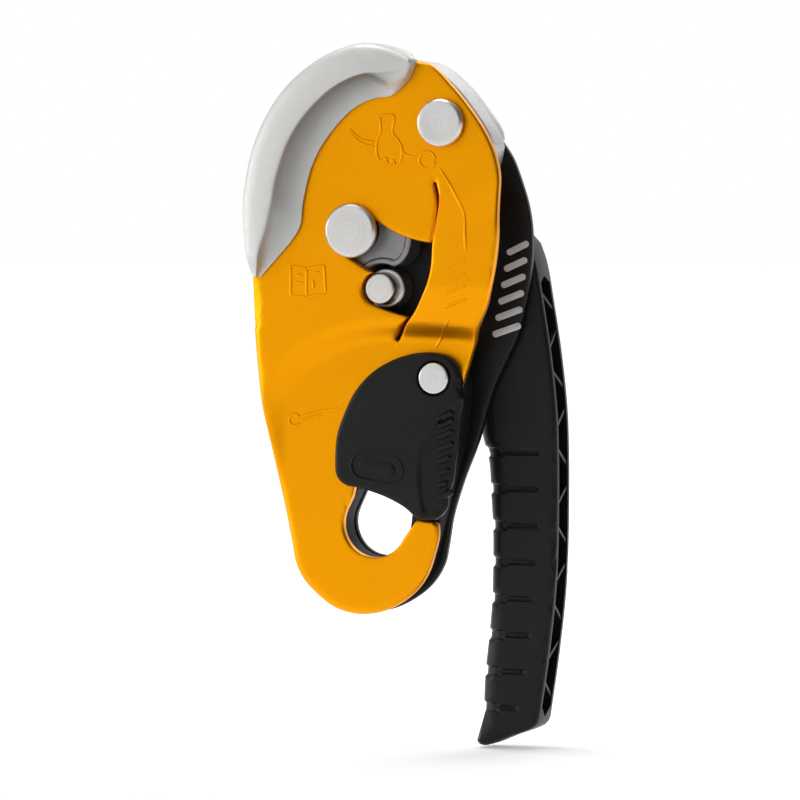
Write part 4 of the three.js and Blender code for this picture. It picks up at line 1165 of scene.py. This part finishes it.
    def ribs(self, pocket):
        """Thin walls across the pocket, each leaning from one face to the other, in turn up and down."""
        right = np.vstack([ARM_RIGHT, GRIP_RIGHT])
        right = run(right, 6)
        right = right[np.argsort(right[:, 1])]
        y = np.linspace(HANDLE_FRONT + self.wall - 0.5, HANDLE_REAR - self.wall + 0.5, 9)
        top, bottom = up([0, 66.8])[1], low([0, -54])[1]
        for k, middle in enumerate(np.arange(top, bottom, -11.65)):
            lean = (2.8 if k % 2 == 0 else -2.8) * np.linspace(1, -1, len(y))
            x = np.stack([np.interp(middle + lean, pocket[:, 1], pocket[:, 0]) - 1,
                          np.interp(middle + lean, right[:, 1], right[:, 0]) - 0.35])
            ring_x = np.concatenate([x, x[::-1]])
            rise = np.array([-0.55, -0.55, 0.55, 0.55])[:, None] + (middle + lean)[None, :]
            yield loft(np.stack([ring_x, np.broadcast_to(y, ring_x.shape), rise], axis=-1).transpose(1, 0, 2))


class ROPE_BRAKE_OT_fittings(bpy.types.Operator):
    """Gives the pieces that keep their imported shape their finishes: bushes, springs and small rivets."""

    bl_idname = "rope_brake.fittings"
    bl_label = "Small fittings"

    def execute(self, context):
        bronze = plain_steel("bearing bronze", colours().bronze)
        spring = plain_steel("spring wire", (0.4, 0.4, 0.41))
        finishes = {
            bronze: ("plate_pivot_washer", "cam_bush", "hub_bush"),
            spring: ("cam_return_spring", "handle_return_spring", "gate_spring", "spacer_rivet_left",
                     "spacer_rivet_right", "insert_rivet_upper", "insert_rivet_lower", "cam_drive_peg"),
            plain_steel("sleeve steel", colours().cam): ("plate_pivot_sleeve",),
            nylon(): ("hub_cap",),
        }
        for material, names in finishes.items():
            for name in names:
                slots = bpy.data.objects[name].material_slots
                if not slots:
                    bpy.data.objects[name].data.materials.append(material)
                for slot in slots:
                    slot.material = material
        return {"FINISHED"}


class ROPE_BRAKE_OT_stage(bpy.types.Operator):
    """Makes the pale floor, the soft studio lights and the camera."""

    bl_idname = "rope_brake.stage"
    bl_label = "Stage"

    def execute(self, context):
        scene = context.scene
        scene.view_settings.view_transform = "Standard"
        scene.view_settings.look = "None"
        self.floor()
        self.world(scene)
        self.lamp("top light", (-0.5, 0.1, 1.9), 1.2, 16)
        self.lamp("left panel", (-1.5, -0.55, -0.02), 1.0, 11)
        self.lamp("rim light", (0.2, 1.2, 1.1), 0.9, 5)
        self.lamp("low fill", (-0.25, -1.5, -0.75), 1.3, 7)
        self.camera(scene)
        return {"FINISHED"}

    def floor(self):
        height = CAD_BOX[0].z - 0.5 * MM
        reach = 6.0
        mesh = bpy.data.meshes.new("floor")
        corners = (-reach, -reach), (reach, -reach), (reach, reach), (-reach, reach)
        mesh.from_pydata([(x, y, height) for x, y in corners], [], [(0, 1, 2, 3)])
        floor = bpy.data.objects.new("floor", mesh)
        bpy.context.scene.collection.objects.link(floor)
        finish = Finish("pale floor")
        where = finish.place()
        cloud = finish.noise(where, 3, 2)
        behind = finish.node("ShaderNodeMapRange", {"interpolation_type": "SMOOTHSTEP"},
                             {"Value": finish.node("ShaderNodeSeparateXYZ", None, {0: where}, "Y"),
                              "From Min": -0.15, "From Max": 0.25, "To Min": 0.3})
        glow = finish.blend(behind, (0, 0, 0, 1), (1, 1, 1, 1))
        tone = finish.blend(cloud, (0.93, 0.93, 0.93, 1), (0.96, 0.96, 0.96, 1))
        mesh.materials.append(finish.done(Base_Color=tone, Roughness=0.9 + cloud * 0.05,
                                          Emission_Color=glow, Emission_Strength=0.55))
        floor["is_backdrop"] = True

    def world(self, scene):
        """Light from all round, dimmer on the side that the front faces."""
        world = bpy.data.worlds.new("studio")
        scene.world = world
        world.use_nodes = True
        nodes, links = world.node_tree.nodes, world.node_tree.links
        background = next(node for node in nodes if node.type == "BACKGROUND")
        background.inputs["Color"].default_value = (1, 1, 1, 1)
        where = nodes.new("ShaderNodeTexCoord")
        axes = nodes.new("ShaderNodeSeparateXYZ")
        links.new(where.outputs["Generated"], axes.inputs[0])
        lobe = nodes.new("ShaderNodeVectorMath")
        lobe.operation = "DOT_PRODUCT"
        links.new(where.outputs["Generated"], lobe.inputs[0])
        lobe.inputs[1].default_value = (-0.8, -0.48, 0.36)
        ranges = ((axes.outputs["Y"], (0.6, 0.88, 0.0, 1.0)), (lobe.outputs["Value"], (-0.3, 0.9, 0.1, 0.85)))
        results = []
        for source, values in ranges:
            strength = nodes.new("ShaderNodeMapRange")
            strength.interpolation_type = "SMOOTHSTEP"
            links.new(source, strength.inputs["Value"])
            for socket, value in zip(("From Min", "From Max", "To Min", "To Max"), values):
                strength.inputs[socket].default_value = value
            results.append(strength.outputs["Result"])
        brightest = nodes.new("ShaderNodeMath")
        brightest.operation = "MAXIMUM"
        for socket, result in zip(brightest.inputs, results):
            links.new(result, socket)
        links.new(brightest.outputs["Value"], background.inputs["Strength"])

    def lamp(self, name, place, size, power):
        light = bpy.data.lights.new(name, "AREA")
        light.size, light.energy = size, power
        obj = bpy.data.objects.new(name, light)
        bpy.context.scene.collection.objects.link(obj)
        obj.location = place
        obj.rotation_euler = (Vector((0, 0, 0.04)) - obj.location).to_track_quat("-Z", "Y").to_euler()

    def camera(self, scene):
        """A long lens two metres away, to the right of the front and a little above."""
        turn, rise = np.radians(20.0), np.radians(2.5)
        back = Vector((np.sin(turn) * np.cos(rise), -np.cos(turn) * np.cos(rise), np.sin(rise)))
        data = bpy.data.cameras.new("camera")
        data.lens, data.sensor_width = 300.0, 36.0
        data.clip_end = 100.0
        camera = bpy.data.objects.new("camera", data)
        scene.collection.objects.link(camera)
        camera.location = Vector((5.0, 1.8, 36.9)) * MM + back * 2.0
        camera.rotation_euler = (-back).to_track_quat("-Z", "Y").to_euler()
        scene.camera = camera


PIECES = (ROPE_BRAKE_OT_front_plate, ROPE_BRAKE_OT_plate_marks, ROPE_BRAKE_OT_friction_guard,
          ROPE_BRAKE_OT_turned_parts, ROPE_BRAKE_OT_back_plate, ROPE_BRAKE_OT_spacer,
          ROPE_BRAKE_OT_wear_insert, ROPE_BRAKE_OT_cam, ROPE_BRAKE_OT_gate, ROPE_BRAKE_OT_handle,
          ROPE_BRAKE_OT_fittings, ROPE_BRAKE_OT_stage)


class ROPE_BRAKE_PT_panel(bpy.types.Panel):
    """Lists the sizes, the colours and the operators."""

    bl_idname = "ROPE_BRAKE_PT_panel"
    bl_label = "Rope Brake"
    bl_space_type = "VIEW_3D"
    bl_region_type = "UI"
    bl_category = "Rope Brake"

    def draw(self, context):
        for group in (context.scene.rope_brake_sizes, context.scene.rope_brake_colours):
            box = self.layout.box()
            for name in type(group).__annotations__:
                box.prop(group, name)
        for operator in PIECES:
            self.layout.operator(operator.bl_idname)


CLASSES = (RopeBrakeSizes, RopeBrakeColours, *PIECES, ROPE_BRAKE_PT_panel)


def register():
    for cls in CLASSES:
        bpy.utils.register_class(cls)
    bpy.types.Scene.rope_brake_sizes = bpy.props.PointerProperty(type=RopeBrakeSizes)
    bpy.types.Scene.rope_brake_colours = bpy.props.PointerProperty(type=RopeBrakeColours)


def unregister():
    del bpy.types.Scene.rope_brake_colours
    del bpy.types.Scene.rope_brake_sizes
    for cls in reversed(CLASSES):
        bpy.utils.unregister_class(cls)


def main():
    register()
    for operator in PIECES:
        group, name = operator.bl_idname.split(".")
        getattr(getattr(bpy.ops, group), name)()
    [[list(corner) for corner in box] for box in (CAD_BOX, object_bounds())]


if __name__ == "__main__":
    main()
